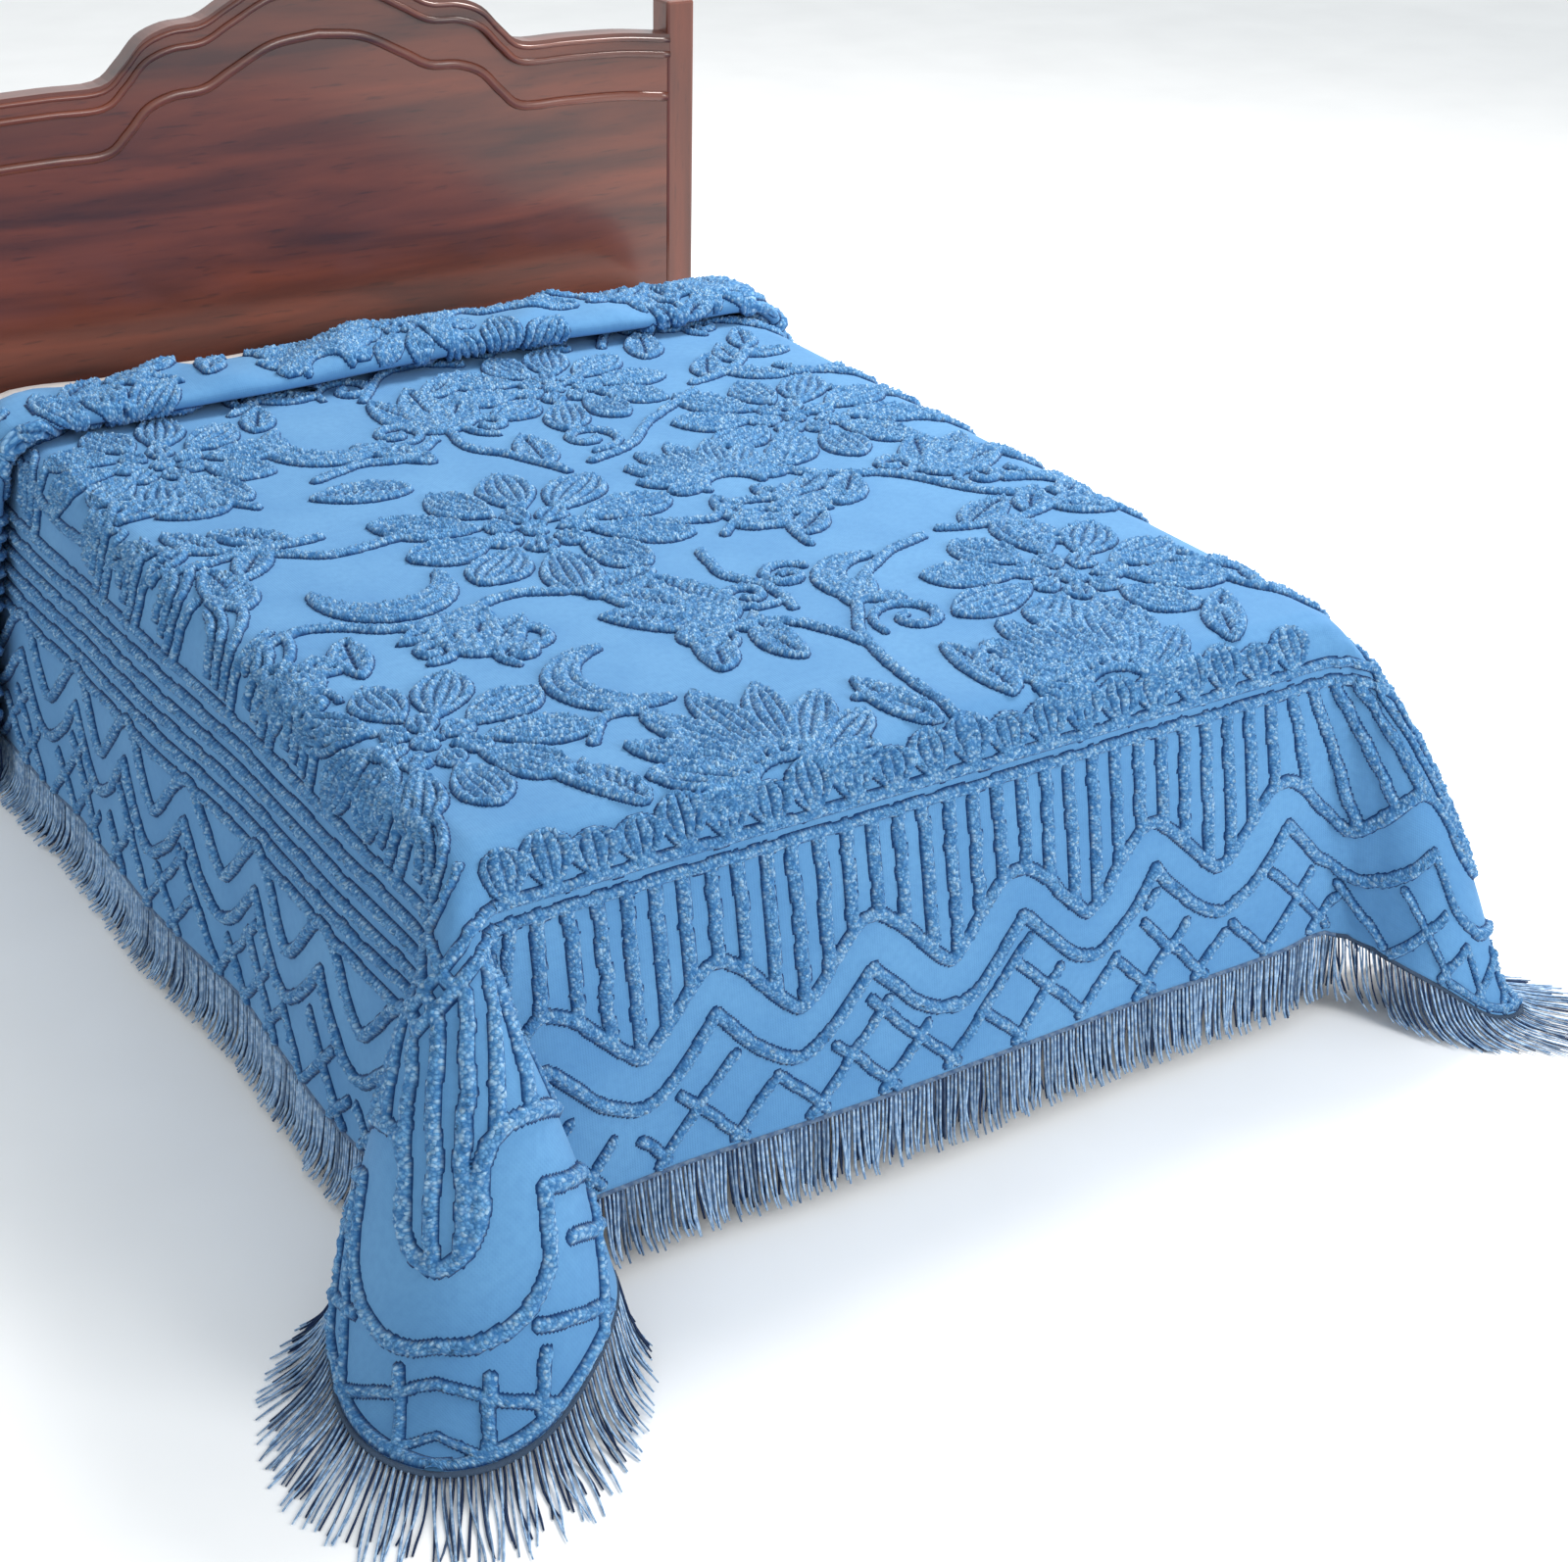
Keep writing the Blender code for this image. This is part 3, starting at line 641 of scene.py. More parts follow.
def cloth_point(p, q):
    """Where the cloth's point p across and q along lies, with q measured along the cloth itself."""
    p, q = np.broadcast_arrays(np.asarray(p, float), np.asarray(q, float))
    p, q = cut_round(p, q)
    toward_head = np.clip((q - SHIFT_START) / SHIFT_RUN, 0, 1)
    s = p - SHIFT_LEFT - SHIFT_HEAD * toward_head**2 * (3 - 2 * toward_head)
    lengths, alongs, ups = head_section()
    start = CREASE + alongs[0]
    length = np.maximum(q - start, 0)
    y = np.where(q > start, CREASE + np.interp(length, lengths, alongs), q)
    y = y + waves(CREASE_WAVES, p) * np.clip(length / CREASE_EASE, 0, 1)
    y = y - SKEW_FOOT * (0.5 - p / BED_WIDTH) * np.clip((CREASE - q) / SKEW_RUN, 0, 1)
    up = np.maximum(np.interp(length, lengths, ups), 0) * (1 + waves(FOLD_WAVES, p))
    for gather in GATHERS:
        beside = (p - gather.p - gather.lean * (q - ROLL_TOP)) / gather.width
        grown = np.clip((q - ROLL_TOP + ROLL_BEFORE) / ROLL_EASE, 0, 1)
        up = up + gather.rise * np.exp(-(beside**2)) * grown
    across = draped(s + SLOPE_STEP, y) - draped(s - SLOPE_STEP, y)
    along = draped(s, y + SLOPE_STEP) - draped(s, y - SLOPE_STEP)
    normal = np.cross(across, along)
    normal = normal / np.linalg.norm(normal, axis=-1, keepdims=True)
    return draped(s, y) + normal * up[..., None]


HALF = BED_WIDTH / 2 + DROP
HEM = FOOT - DROP
TOP_EDGE = CREASE + HEAD_FOLD[0].along + head_section()[0][-1]

# %% [markdown]
# The ground is one grid laid on that function. Its lines are close together where the cloth
# bends and far apart where it lies flat, so few faces give smooth folds. Solidify then turns the
# surface into cloth 2.4 mm thick, half of it to each side.

# %% The ground cloth
GROUND_THICKNESS = 0.0024


def spaced(stops):
    """Places from the first stop to the last, with each stop's number of steps up to the next."""
    places = []
    for (here, parts), (there, _) in zip(stops, stops[1:]):
        places.append(np.linspace(here, there, parts, endpoint=False))
    return np.concatenate(places + [[stops[-1][0]]])


def ground_cloth():
    """The woven ground, with its place on the flat cloth kept at each point as a UV map."""
    across = spaced([(-HALF, 56), (-0.84, 22), (-0.62, 48), (0.62, 22), (0.84, 56), (HALF, 0)])
    along = spaced([(HEM, 56), (-1.11, 22), (-0.90, 30), (CREASE - 0.08, 100), (TOP_EDGE, 0)])
    p, q = np.meshgrid(across, along)
    plan = np.stack([p, q], -1).reshape(-1, 2)
    faces = grid_faces(len(along), len(across))
    points = cloth_point(p, q)
    piece = new_piece("ground_cloth", points, faces, COTTON_GROUND, plan)
    thickness = piece.modifiers.new("Thickness", "SOLIDIFY")
    thickness.thickness = GROUND_THICKNESS
    thickness.offset = 0
    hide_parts("bedspread")
    return piece


GROUND = ground_cloth()

# %% [markdown]
# The tufted pattern is drawn on the cloth laid flat, as a map of pile height. Each stroke of the
# needle machine raises a rounded rope; where strokes cross, the taller one wins. Later the map
# is laid over the drape, and only the part of it that has pile becomes mesh.
#
# The map is worked out on lines 6.9 mm apart and then doubled to 3.5 mm: fine enough to round a
# rope 16 to 20 mm wide, and coarse enough to keep all the pieces together below a million
# triangles.

# %% A map of pile height
MAP_STEP = 0.0069
ROPE_WIDTH = 0.0160
ROPE_RISE = 0.0095
MAP_EDGE = 0.002
coarse_p = np.linspace(-HALF + MAP_EDGE, HALF - MAP_EDGE, int(2 * HALF / MAP_STEP))
coarse_q = np.linspace(HEM + MAP_EDGE, TOP_EDGE - MAP_EDGE, int((TOP_EDGE - HEM) / MAP_STEP))


def doubled(rows):
    """A new row between each two, on the cubic through the four: (9 (b + c) - a - d) / 16."""
    before = np.concatenate([2 * rows[:1] - rows[1:2], rows[:-2]])
    after = np.concatenate([rows[2:], 2 * rows[-1:] - rows[-2:-1]])
    out = np.empty((2 * len(rows) - 1, *rows.shape[1:]))
    out[::2] = rows
    out[1::2] = (9 * (rows[:-1] + rows[1:]) - before - after) / 16
    return out


MAP_P = doubled(coarse_p)
MAP_Q = doubled(coarse_q)
PILE = np.zeros((len(MAP_Q), len(MAP_P)))
print("pile map", PILE.shape)


# %% Strokes on the map
STEPS_AT_ONCE = 5


def window(low, high):
    """The map's rows and columns inside a box, and their places as a column and a row."""
    rows = slice(*np.searchsorted(MAP_Q, (low[1], high[1])))
    columns = slice(*np.searchsorted(MAP_P, (low[0], high[0])))
    return (rows, columns), MAP_P[columns][None, :], MAP_Q[rows][:, None]


def raise_pile(place, height):
    PILE[place] = np.maximum(PILE[place], height)


def rope(path, width=ROPE_WIDTH, rise=ROPE_RISE):
    """A rope of pile along a path: rise * sqrt(1 - (2 d / width)^2) high at distance d from it.

    The width may change along the path. The path is taken a few steps at a time, so that each
    time only the part of the map that lies near it is looked at.
    """
    path = np.asarray(path, float)
    widths = np.broadcast_to(width, len(path))
    for first in range(0, len(path) - 1, STEPS_AT_ONCE):
        last = first + STEPS_AT_ONCE + 1
        part, wide = path[first:last], widths[first:last]
        half = wide.max() / 2
        place, p, q = window(part.min(0) - half, part.max(0) + half)
        if p.size == 0 or q.size == 0:
            continue
        start, run = part[:-1, :, None, None], np.diff(part, axis=0)[:, :, None, None]
        to_p, to_q = p - start[:, 0], q - start[:, 1]
        share = to_p * run[:, 0] + to_q * run[:, 1]
        share = np.clip(share / np.maximum((run**2).sum(1), 1e-12), 0, 1)
        apart = (to_p - share * run[:, 0]) ** 2 + (to_q - share * run[:, 1]) ** 2
        reach = (wide[:-1, None, None] * (1 - share) + wide[1:, None, None] * share) / 2
        raise_pile(place, rise * np.sqrt(np.maximum(1 - apart / reach**2, 0)).max(0))


print("ropes", ROPE_WIDTH, "m wide and", ROPE_RISE, "m high unless said otherwise")

# %% [markdown]
# The border comes first. It follows the hem at a set distance, so it is drawn in its own two
# numbers: how far round the hem, and how far in from it. A helper turns those into a place on
# the cloth: straight along the foot, round a quarter turn at each corner, and up the sides.

# %% The border's own coordinates
TURN_RADIUS = 0.30
TURN_MIDDLE = HALF - TURN_RADIUS
MIDLINE_IN = 0.20
TURN_LENGTH = (TURN_RADIUS - MIDLINE_IN) * math.pi / 2
SIDE_END = TOP_EDGE - (HEM + TURN_RADIUS)


def border_place(side, round_hem, inward):
    """Straight along the foot, an arc of radius (turn radius - inward), then up the side."""
    past = np.clip((round_hem - TURN_MIDDLE) / TURN_LENGTH, 0, 1) * math.pi / 2
    radius = TURN_RADIUS - inward
    p = np.minimum(round_hem, TURN_MIDDLE) + radius * np.sin(past)
    up = np.maximum(round_hem - TURN_MIDDLE - TURN_LENGTH, 0)
    q = HEM + TURN_RADIUS - radius * np.cos(past) + up
    return np.stack([side * p, q], -1)


def inward_of(p, q):
    """How far a place lies in from the hem, and how far round it: the helper above turned about."""
    p = np.abs(p)
    beyond_p, beyond_q = p - TURN_MIDDLE, HEM + TURN_RADIUS - q
    corner = (beyond_p > 0) & (beyond_q > 0)
    straight_in = np.minimum(HALF - p, q - HEM)
    inward = np.where(corner, TURN_RADIUS - np.hypot(beyond_p, beyond_q), straight_in)
    turned = np.arctan2(np.maximum(beyond_p, 0), np.maximum(beyond_q, 1e-9))
    turned = turned / (math.pi / 2) * TURN_LENGTH
    on_foot = np.where(beyond_q > 0, TURN_MIDDLE + turned, TURN_MIDDLE + TURN_LENGTH - beyond_q)
    return inward, np.where((beyond_p <= 0) & (q - HEM < HALF - p), p, on_foot)


print("border turns", round(TURN_LENGTH, 3), "m round each corner")

# %% The two waves' distance from the hem
# Where the loops that hang towards the hem are, counted round it from the middle of the foot
LOOP_PLACES = [0.0, 0.250, 0.495, 0.765, TURN_MIDDLE + TURN_LENGTH / 2]
LOOP_PITCH = 0.25
INNER_MIDDLE = 0.225
INNER_SWING = 0.052
OUTER_LOOP = 0.102
OUTER_SWING = 0.104
OUTER_AHEAD = 0.008
CORNER_DEEPER = 0.024
CORNER_REACH = 0.14


def loops_passed(round_hem):
    """How many loops lie between the middle of the foot and here."""
    last = len(LOOP_PLACES) - 1
    beyond = (round_hem - LOOP_PLACES[-1]) / LOOP_PITCH
    return np.where(beyond > 0, last + beyond, np.interp(round_hem, LOOP_PLACES, range(last + 1)))


def toward_peak(round_hem):
    """0 in the middle of each loop that hangs towards the hem, 1 at the peak between two loops."""
    return 1 - np.abs(2 * (loops_passed(round_hem) % 1) - 1)


def inner_wave(round_hem):
    """Broad arches and narrower loops: two parts of a cosine to one of 1 - 2 (1 - share)^1.8."""
    share = toward_peak(round_hem)
    swing = (1 - 2 * (1 - share) ** 1.8) / 3 - np.cos(math.pi * share) * 2 / 3
    return INNER_MIDDLE + INNER_SWING * swing


def outer_wave(round_hem):
    """Nearer the hem, round in its loops and pointed at its peaks: share^1.6, deeper at corners."""
    corner = np.exp(-(((round_hem - LOOP_PLACES[-1]) / CORNER_REACH) ** 2))
    share = toward_peak(round_hem - OUTER_AHEAD)
    return OUTER_LOOP + OUTER_SWING * share**1.6 - CORNER_DEEPER * corner


print("loops", LOOP_PITCH, "m apart up the sides")

# %% [markdown]
# With those, the border is a few lines of code: the two waves, the ribs that run down to the
# inner wave, the long lines beside them up the bed's sides, and the lattice of slanting bars
# between the outer wave and the hem.

# %% Border: the two waves
WAVE_ROPE = 0.019
HEM_STEP = 0.010
chance = np.random.default_rng(7)


def wander(path, size=0.0022):
    """A hand-guided needle strays a little: adds smooth random steps across the path."""
    stray = chance.normal(0, size, path.shape)
    return path + (stray + np.roll(stray, 1, 0) + np.roll(stray, -1, 0)) / 3


round_hem = np.arange(0, TURN_MIDDLE + TURN_LENGTH + SIDE_END, HEM_STEP)
for side in (-1, 1):
    for wave in (inner_wave, outer_wave):
        rope(wander(border_place(side, round_hem, wave(round_hem))), WAVE_ROPE)
print("waves drawn, share tufted", round(float((PILE > 0).mean()), 3))

# %% Border: ribs
FOOT_LINE = FOOT - 0.095
RIBS = np.arange(-18, 19) * 0.0425 + 0.012
RIB_WIDTH = 0.0200
RIB_LENGTH = 0.40
RIB_STEP = 0.008
LEAN = 0.66
LEAN_FROM = 0.60
LEAN_RUN = 0.17
CLEAR_OF_WAVE = 0.004


def kept_stretches(path, kept):
    """The parts of a path where kept is true, each as its own path."""
    breaks = np.flatnonzero(np.diff(kept.astype(int))) + 1
    parts = zip(np.split(path, breaks), np.split(kept, breaks))
    return [part for part, keep in parts if keep[0] and len(part) > 2]


def inside_wave(path):
    """True where a path lies inside the inner wave."""
    inward, place = inward_of(path[:, 0], path[:, 1])
    return inward > inner_wave(place) + CLEAR_OF_WAVE


for rib in RIBS:
    down = np.arange(0, RIB_LENGTH, RIB_STEP)
    lean = math.copysign(LEAN * min(max((abs(rib) - LEAN_FROM) / LEAN_RUN, 0), 1), rib)
    path = np.stack([rib + down * math.sin(lean), FOOT_LINE - down * math.cos(lean)], -1)
    for part in kept_stretches(path, inside_wave(path)):
        rope(wander(part), RIB_WIDTH)
print(len(RIBS), "ribs,", RIB_WIDTH, "m wide")

# %% Border: long lines up the sides, turned at the foot corners
LINE_ROPE = 0.0170
SIDE_LINES = np.linspace(0.826, 0.990, 6)
FRAME_LINES, TURNED_LINES = SIDE_LINES[:3], SIDE_LINES[3:]
TURNED_SLANTS = np.array([0.30, 0.42, 0.54])
DIAGONALS = np.arange(-2, 3) * 0.031 + 0.006
DIAGONAL_END = 0.70
PAST_LINE = 0.012
SLANTED = math.sqrt(2)


def diagonal_line(aside, slants):
    """Points at these slants from the bed's foot corner, beside the corner's diagonal."""
    past_side, past_foot = (slants + aside) * math.sqrt(0.5), (slants - aside) * math.sqrt(0.5)
    return np.stack([BED_WIDTH / 2 + past_side, FOOT - past_foot], -1)


def draw_to_wave(path):
    """Ropes on both halves of the cloth, where the path lies inside the inner wave."""
    kept = inside_wave(path)
    for side in (-1, 1):
        for part in kept_stretches(path * (side, 1), kept):
            rope(wander(part), LINE_ROPE)


for line in FRAME_LINES:
    down = np.arange(TOP_EDGE, FOOT_LINE, -0.012)
    draw_to_wave(np.stack([np.full(len(down), line), down], -1))
for number, line in enumerate(TURNED_LINES):
    straight = [(line, q) for q in np.arange(TOP_EDGE, FOOT, -0.12)]
    bend = [(line, FOOT), (line + 0.006, FOOT - 0.06)]
    turned = diagonal_line(0.090 + 0.026 * number, TURNED_SLANTS)
    draw_to_wave(smooth_path([*straight, *bend, *turned], 10))
for aside in DIAGONALS:
    from_side = (FRAME_LINES[-1] + PAST_LINE - BED_WIDTH / 2) * SLANTED - aside
    from_foot = (FOOT - FOOT_LINE + PAST_LINE) * SLANTED + aside
    slants = np.arange(min(from_side, from_foot), DIAGONAL_END, 0.008)
    draw_to_wave(diagonal_line(aside, slants))
print(len(SIDE_LINES), "lines up each side,", len(DIAGONALS), "diagonals at each corner")

# %% Border: lines along the foot, and at the tips of the corners
FOOT_LINES = (FOOT_LINE, FOOT_LINE + 0.028)
EVEN = 0.001
TIP_IN = 0.013
TIP_TURN = 0.02
TIP_REACH = 0.30
TIP_ROPE = 0.0155
for line in FOOT_LINES:
    across = np.arange(-FRAME_LINES[-1], FRAME_LINES[-1] + EVEN, HEM_STEP)
    rope(wander(np.stack([across, np.full(len(across), line)], -1), EVEN), LINE_ROPE)
TIP = [
    (HALF - TIP_REACH, HEM + TIP_IN),
    (HALF - TIP_TURN, HEM + TIP_IN),
    (HALF - TIP_IN, HEM + TIP_TURN),
    (HALF - TIP_IN, HEM + TIP_REACH),
]
for side in (-1, 1):
    rope(wander(smooth_path(TIP, 12) * (side, 1), EVEN), TIP_ROPE)
print("foot lines at", [round(line, 3) for line in FOOT_LINES])

# %% Border: lattice of slanting bars
BARS = np.arange(-32, 33) * 0.118
BAR_SHIFT = 0.03
BAR_ROPE = 0.0155
BAR_RISE = 0.0085
BAR_IN = 0.008
run = np.arange(-1.9, 1.9, 0.008)
for slope in (-1, 1):
    for bar in BARS:
        stray, tilt = chance.normal(0, 0.006), chance.normal(0, 0.014)
        short = chance.uniform(0.018, 0.048)
        path = np.stack([run, slope * (1 + tilt) * run + bar + BAR_SHIFT + stray], -1)
        inward, place = inward_of(path[:, 0], path[:, 1])
        below_wave = (inward < outer_wave(place) - short) & (path[:, 1] < TOP_EDGE)
        off_hem = (np.abs(path[:, 0]) < HALF - BAR_IN) & (path[:, 1] > HEM + BAR_IN)
        for part in kept_stretches(path, below_wave & off_hem):
            rope(wander(part), BAR_ROPE, BAR_RISE)
print("border drawn, share tufted", round(float((PILE > 0).mean()), 3))

# %% [markdown]
# Flowers fill the middle. They are the common stock of tufted bedspreads: round blossoms,
# leaves, scrolls and fans. Each is a short function that takes a root, a direction and a size, so
# the whole field is one table with a row for each motif.
#
# A petal is drawn without an outline polygon: in its own frame, u runs along it from 0 to 1 and
# v across it from its bent middle line, and its half width is a sine of u. A petal is filled with
# a few strokes side by side that close up at both ends. A leaf has a rope round its rim, and
# short slanting rows inside it that meet at its vein.

# %% Petals and leaves
STROKE = 0.017
GROOVE = 0.9
GROOVE_FROM = 0.007
GROOVE_RUN = 0.005
ROW_PITCH = 0.0150
ROW_SLANT = 0.9
ROW_LOW = 0.10
ROW_RISE = 0.80
VEIN = 0.005
VEIN_LOW = 0.2


def petal_frame(p, q, turn, length, width, fullness, bend):
    """Map window, u, v and the half width there, width / 2 * sin(pi u^fullness)^0.7.

    The middle line bends aside by bend * length * u^2, and v is measured from it.
    """
    ahead = np.array([math.cos(turn), math.sin(turn)])
    middle = np.array([p, q]) + ahead * length / 2
    reach = length / 2 + width / 2 + abs(bend) * length
    place, x, y = window(middle - reach, middle + reach)
    u = ((x - p) * ahead[0] + (y - q) * ahead[1]) / length
    v = -(x - p) * ahead[1] + (y - q) * ahead[0] - bend * length * u**2
    half = width / 2 * np.sin(math.pi * np.clip(u, 0, 1) ** fullness) ** 0.7
    return place, u, v, np.where((u > 0) & (u < 1), half, 0)


def rounded(share):
    """Height of a rope's section: 1 in its middle, where share is 0, and 0 at its edges."""
    return np.sqrt(np.maximum(1 - share**2, 0))


def petal(p, q, turn, length, width, strokes=3, fullness=1.25, bend=0.0):
    """Strokes side by side. The grooves between them fade where a stroke is under 12 mm wide."""
    place, u, v, half = petal_frame(p, q, turn, length, width, fullness, bend)
    across = v / np.maximum(half, 1e-6) * strokes / 2 + strokes / 2
    each = 1 - (2 * (across % 1) - 1) ** 2
    groove = GROOVE * np.clip((2 * half / strokes - GROOVE_FROM) / GROOVE_RUN, 0, 1)
    rim = rounded(np.clip(1 - (half - np.abs(v)) / (STROKE / 2), 0, 1))
    height = ROPE_RISE * np.minimum(rim, 1 - groove + groove * each)
    raise_pile(place, np.where(half > np.abs(v), height, 0))


def leaf(p, q, turn, length, width, bend=0.12, fullness=0.85):
    """A rope round the rim, and inside it rows: |sin| of (distance along - distance off vein)."""
    place, u, v, half = petal_frame(p, q, turn, length, width, fullness, bend)
    inside = half - np.abs(v)
    rim = rounded(np.clip(2 * inside / STROKE - 1, -1, 1))
    rows = np.abs(np.sin(math.pi * (u * length - ROW_SLANT * np.abs(v)) / ROW_PITCH))
    rows = (ROW_LOW + ROW_RISE * rows) * np.clip(np.abs(v) / VEIN, VEIN_LOW, 1)
    height = ROPE_RISE * np.where(inside > STROKE / 2, np.maximum(rim, rows), rim)
    raise_pile(place, np.where(inside > 0, height, 0))


print("petal strokes", STROKE, "m wide, leaf rows", ROW_PITCH, "m apart")


# %% Motifs of ropes and petals
def along_turn(p, q, angle, distance):
    """The place this far from (p, q) at this angle."""
    return p + distance * math.cos(angle), q + distance * math.sin(angle)


def scroll(p, q, turn, size, hand=1, turns=1.25):
    """A rope that winds in: radius falls from size to a fifth of it while the angle turns."""
    share = np.linspace(0, 1, 26)
    angle = turn + hand * share * turns * 2 * math.pi
    radius = size * (1 - 0.8 * share**0.8)
    path = (p, q) + np.stack([radius * np.cos(angle), radius * np.sin(angle)], -1)
    rope(path, np.interp(share, [0, 0.3, 1], [0.013, 0.022, 0.018]))


def crescent(p, q, turn, size, hand=1):
    """Nested arcs that meet in points: two ropes and a fuller one between them."""
    share = np.linspace(0, 1, 20)
    belly = np.sin(math.pi * share) ** 0.8
    for lean, width in ((0.0, 0.018), (0.24, 0.024 * belly + 0.004), (0.48, 0.018)):
        angle = turn + hand * (0.3 + share * 3.7)
        radius = size * (1 - lean * belly)
        rope((p, q) + np.stack([radius * np.cos(angle), radius * np.sin(angle)], -1), width)


PetalRing = namedtuple("PetalRing", "petals start length width strokes")
PETAL_RINGS = [PetalRing(10, 0.175, 0.335, 0.215, 5), PetalRing(7, 0.065, 0.13, 0.12, 3)]


def blossom(p, q, turn, size, hand=1):
    """Ten broad petals, seven small ones inside them, and a tufted eye."""
    for ring in PETAL_RINGS:
        for i in range(ring.petals):
            angle = turn + i * 2 * math.pi / ring.petals
            length = size * ring.length * (1 + 0.14 * math.sin(2.3 * i + turn))
            root = along_turn(p, q, angle, size * ring.start)
            width, bend = size * ring.width, -0.10 * hand
            petal(*root, angle + hand * 0.10, length, width, ring.strokes, bend=bend)
    scroll(p, q, turn, size * 0.055, hand, 1.0)


print("motifs of strokes: scroll, crescent, blossom")


# %% Motifs with leaves, fans and fronds
def spray(p, q, turn, size, hand=1):
    """A bent stem with leaves to its two sides in turn, and one at its tip."""
    share = np.linspace(0, 1, 12)
    angle = turn + hand * 1.0 * (share - 0.5)
    path = (p, q) + np.cumsum(np.stack([np.cos(angle), np.sin(angle)], -1) * size / len(share), 0)
    rope(path, 0.018)
    for i, (at, lean) in enumerate(((2, 0.95), (4, -0.9), (7, 0.85), (9, -0.8))):
        length = size * (0.50 - 0.04 * i)
        leaf(*path[at], angle[at] + hand * lean, length, length * 0.50, -0.12 * hand)
    leaf(*path[-1], angle[-1], size * 0.46, size * 0.23, 0.12 * hand)


def fan(p, q, turn, size, hand=1):
    """Long petals that spread from one root, the middle ones longest, over a bowed rope."""
    for i in range(-4, 5):
        angle = turn + i * 0.31
        length = size * (0.82 - 0.030 * i * i)
        root = along_turn(p, q, angle, size * 0.20)
        petal(*root, angle, length, size * 0.25, 4, bend=0.03 * i * hand)
    rope([along_turn(p, q, turn + a, size * 0.24) for a in np.linspace(-1.5, 1.5, 9)], 0.019)


def tulip(p, q, turn, size, hand=1):
    """Three upright leaves in a cup of two scrolls, the same for either hand."""
    for lean, share in ((-0.52, 0.86), (0.52, 0.86), (0.0, 1.0)):
        leaf(p, q, turn + lean, size * share, size * 0.38, -0.2 * lean)
    for way in (-1, 1):
        scroll(*along_turn(p, q, turn + way * 1.35, size * 0.36), turn + math.pi, size * 0.22, way)


def comb(p, q, turn, size, hand=1):
    """Curved strokes side by side, as the needle leaves them at the edge of the field."""
    for i in range(4):
        start = np.array(along_turn(p, q, turn + math.pi / 2, (i - 1.5) * 0.030))
        along = np.linspace(0, size * (0.75 + 0.25 * math.sin(1.7 * i + q)), 8)
        angle = turn + hand * (0.15 + 0.10 * i) * along / size * 4
        rope(start + np.stack([np.cos(angle), np.sin(angle)], -1) * along[:, None], 0.018)


def frond(p, q, turn, size, hand=1):
    """One long leaf that curls over, with a stroke beside it."""
    leaf(p, q, turn, size, size * 0.42, 0.25 * hand)
    share = np.linspace(0, 1, 10)
    angle = turn + hand * (0.5 - 1.1 * share)
    rope((p, q) + np.cumsum(np.stack([np.cos(angle), np.sin(angle)], -1) * size * 0.085, 0), 0.017)


print("motifs of leaves and fans: spray, fan, tulip, comb, frond")

# %% [markdown]
# The table of the field. Places and sizes are in metres on the flat cloth, turns in degrees
# from the way to the right. Stems tie the motifs together, each a smooth rope through a few points.

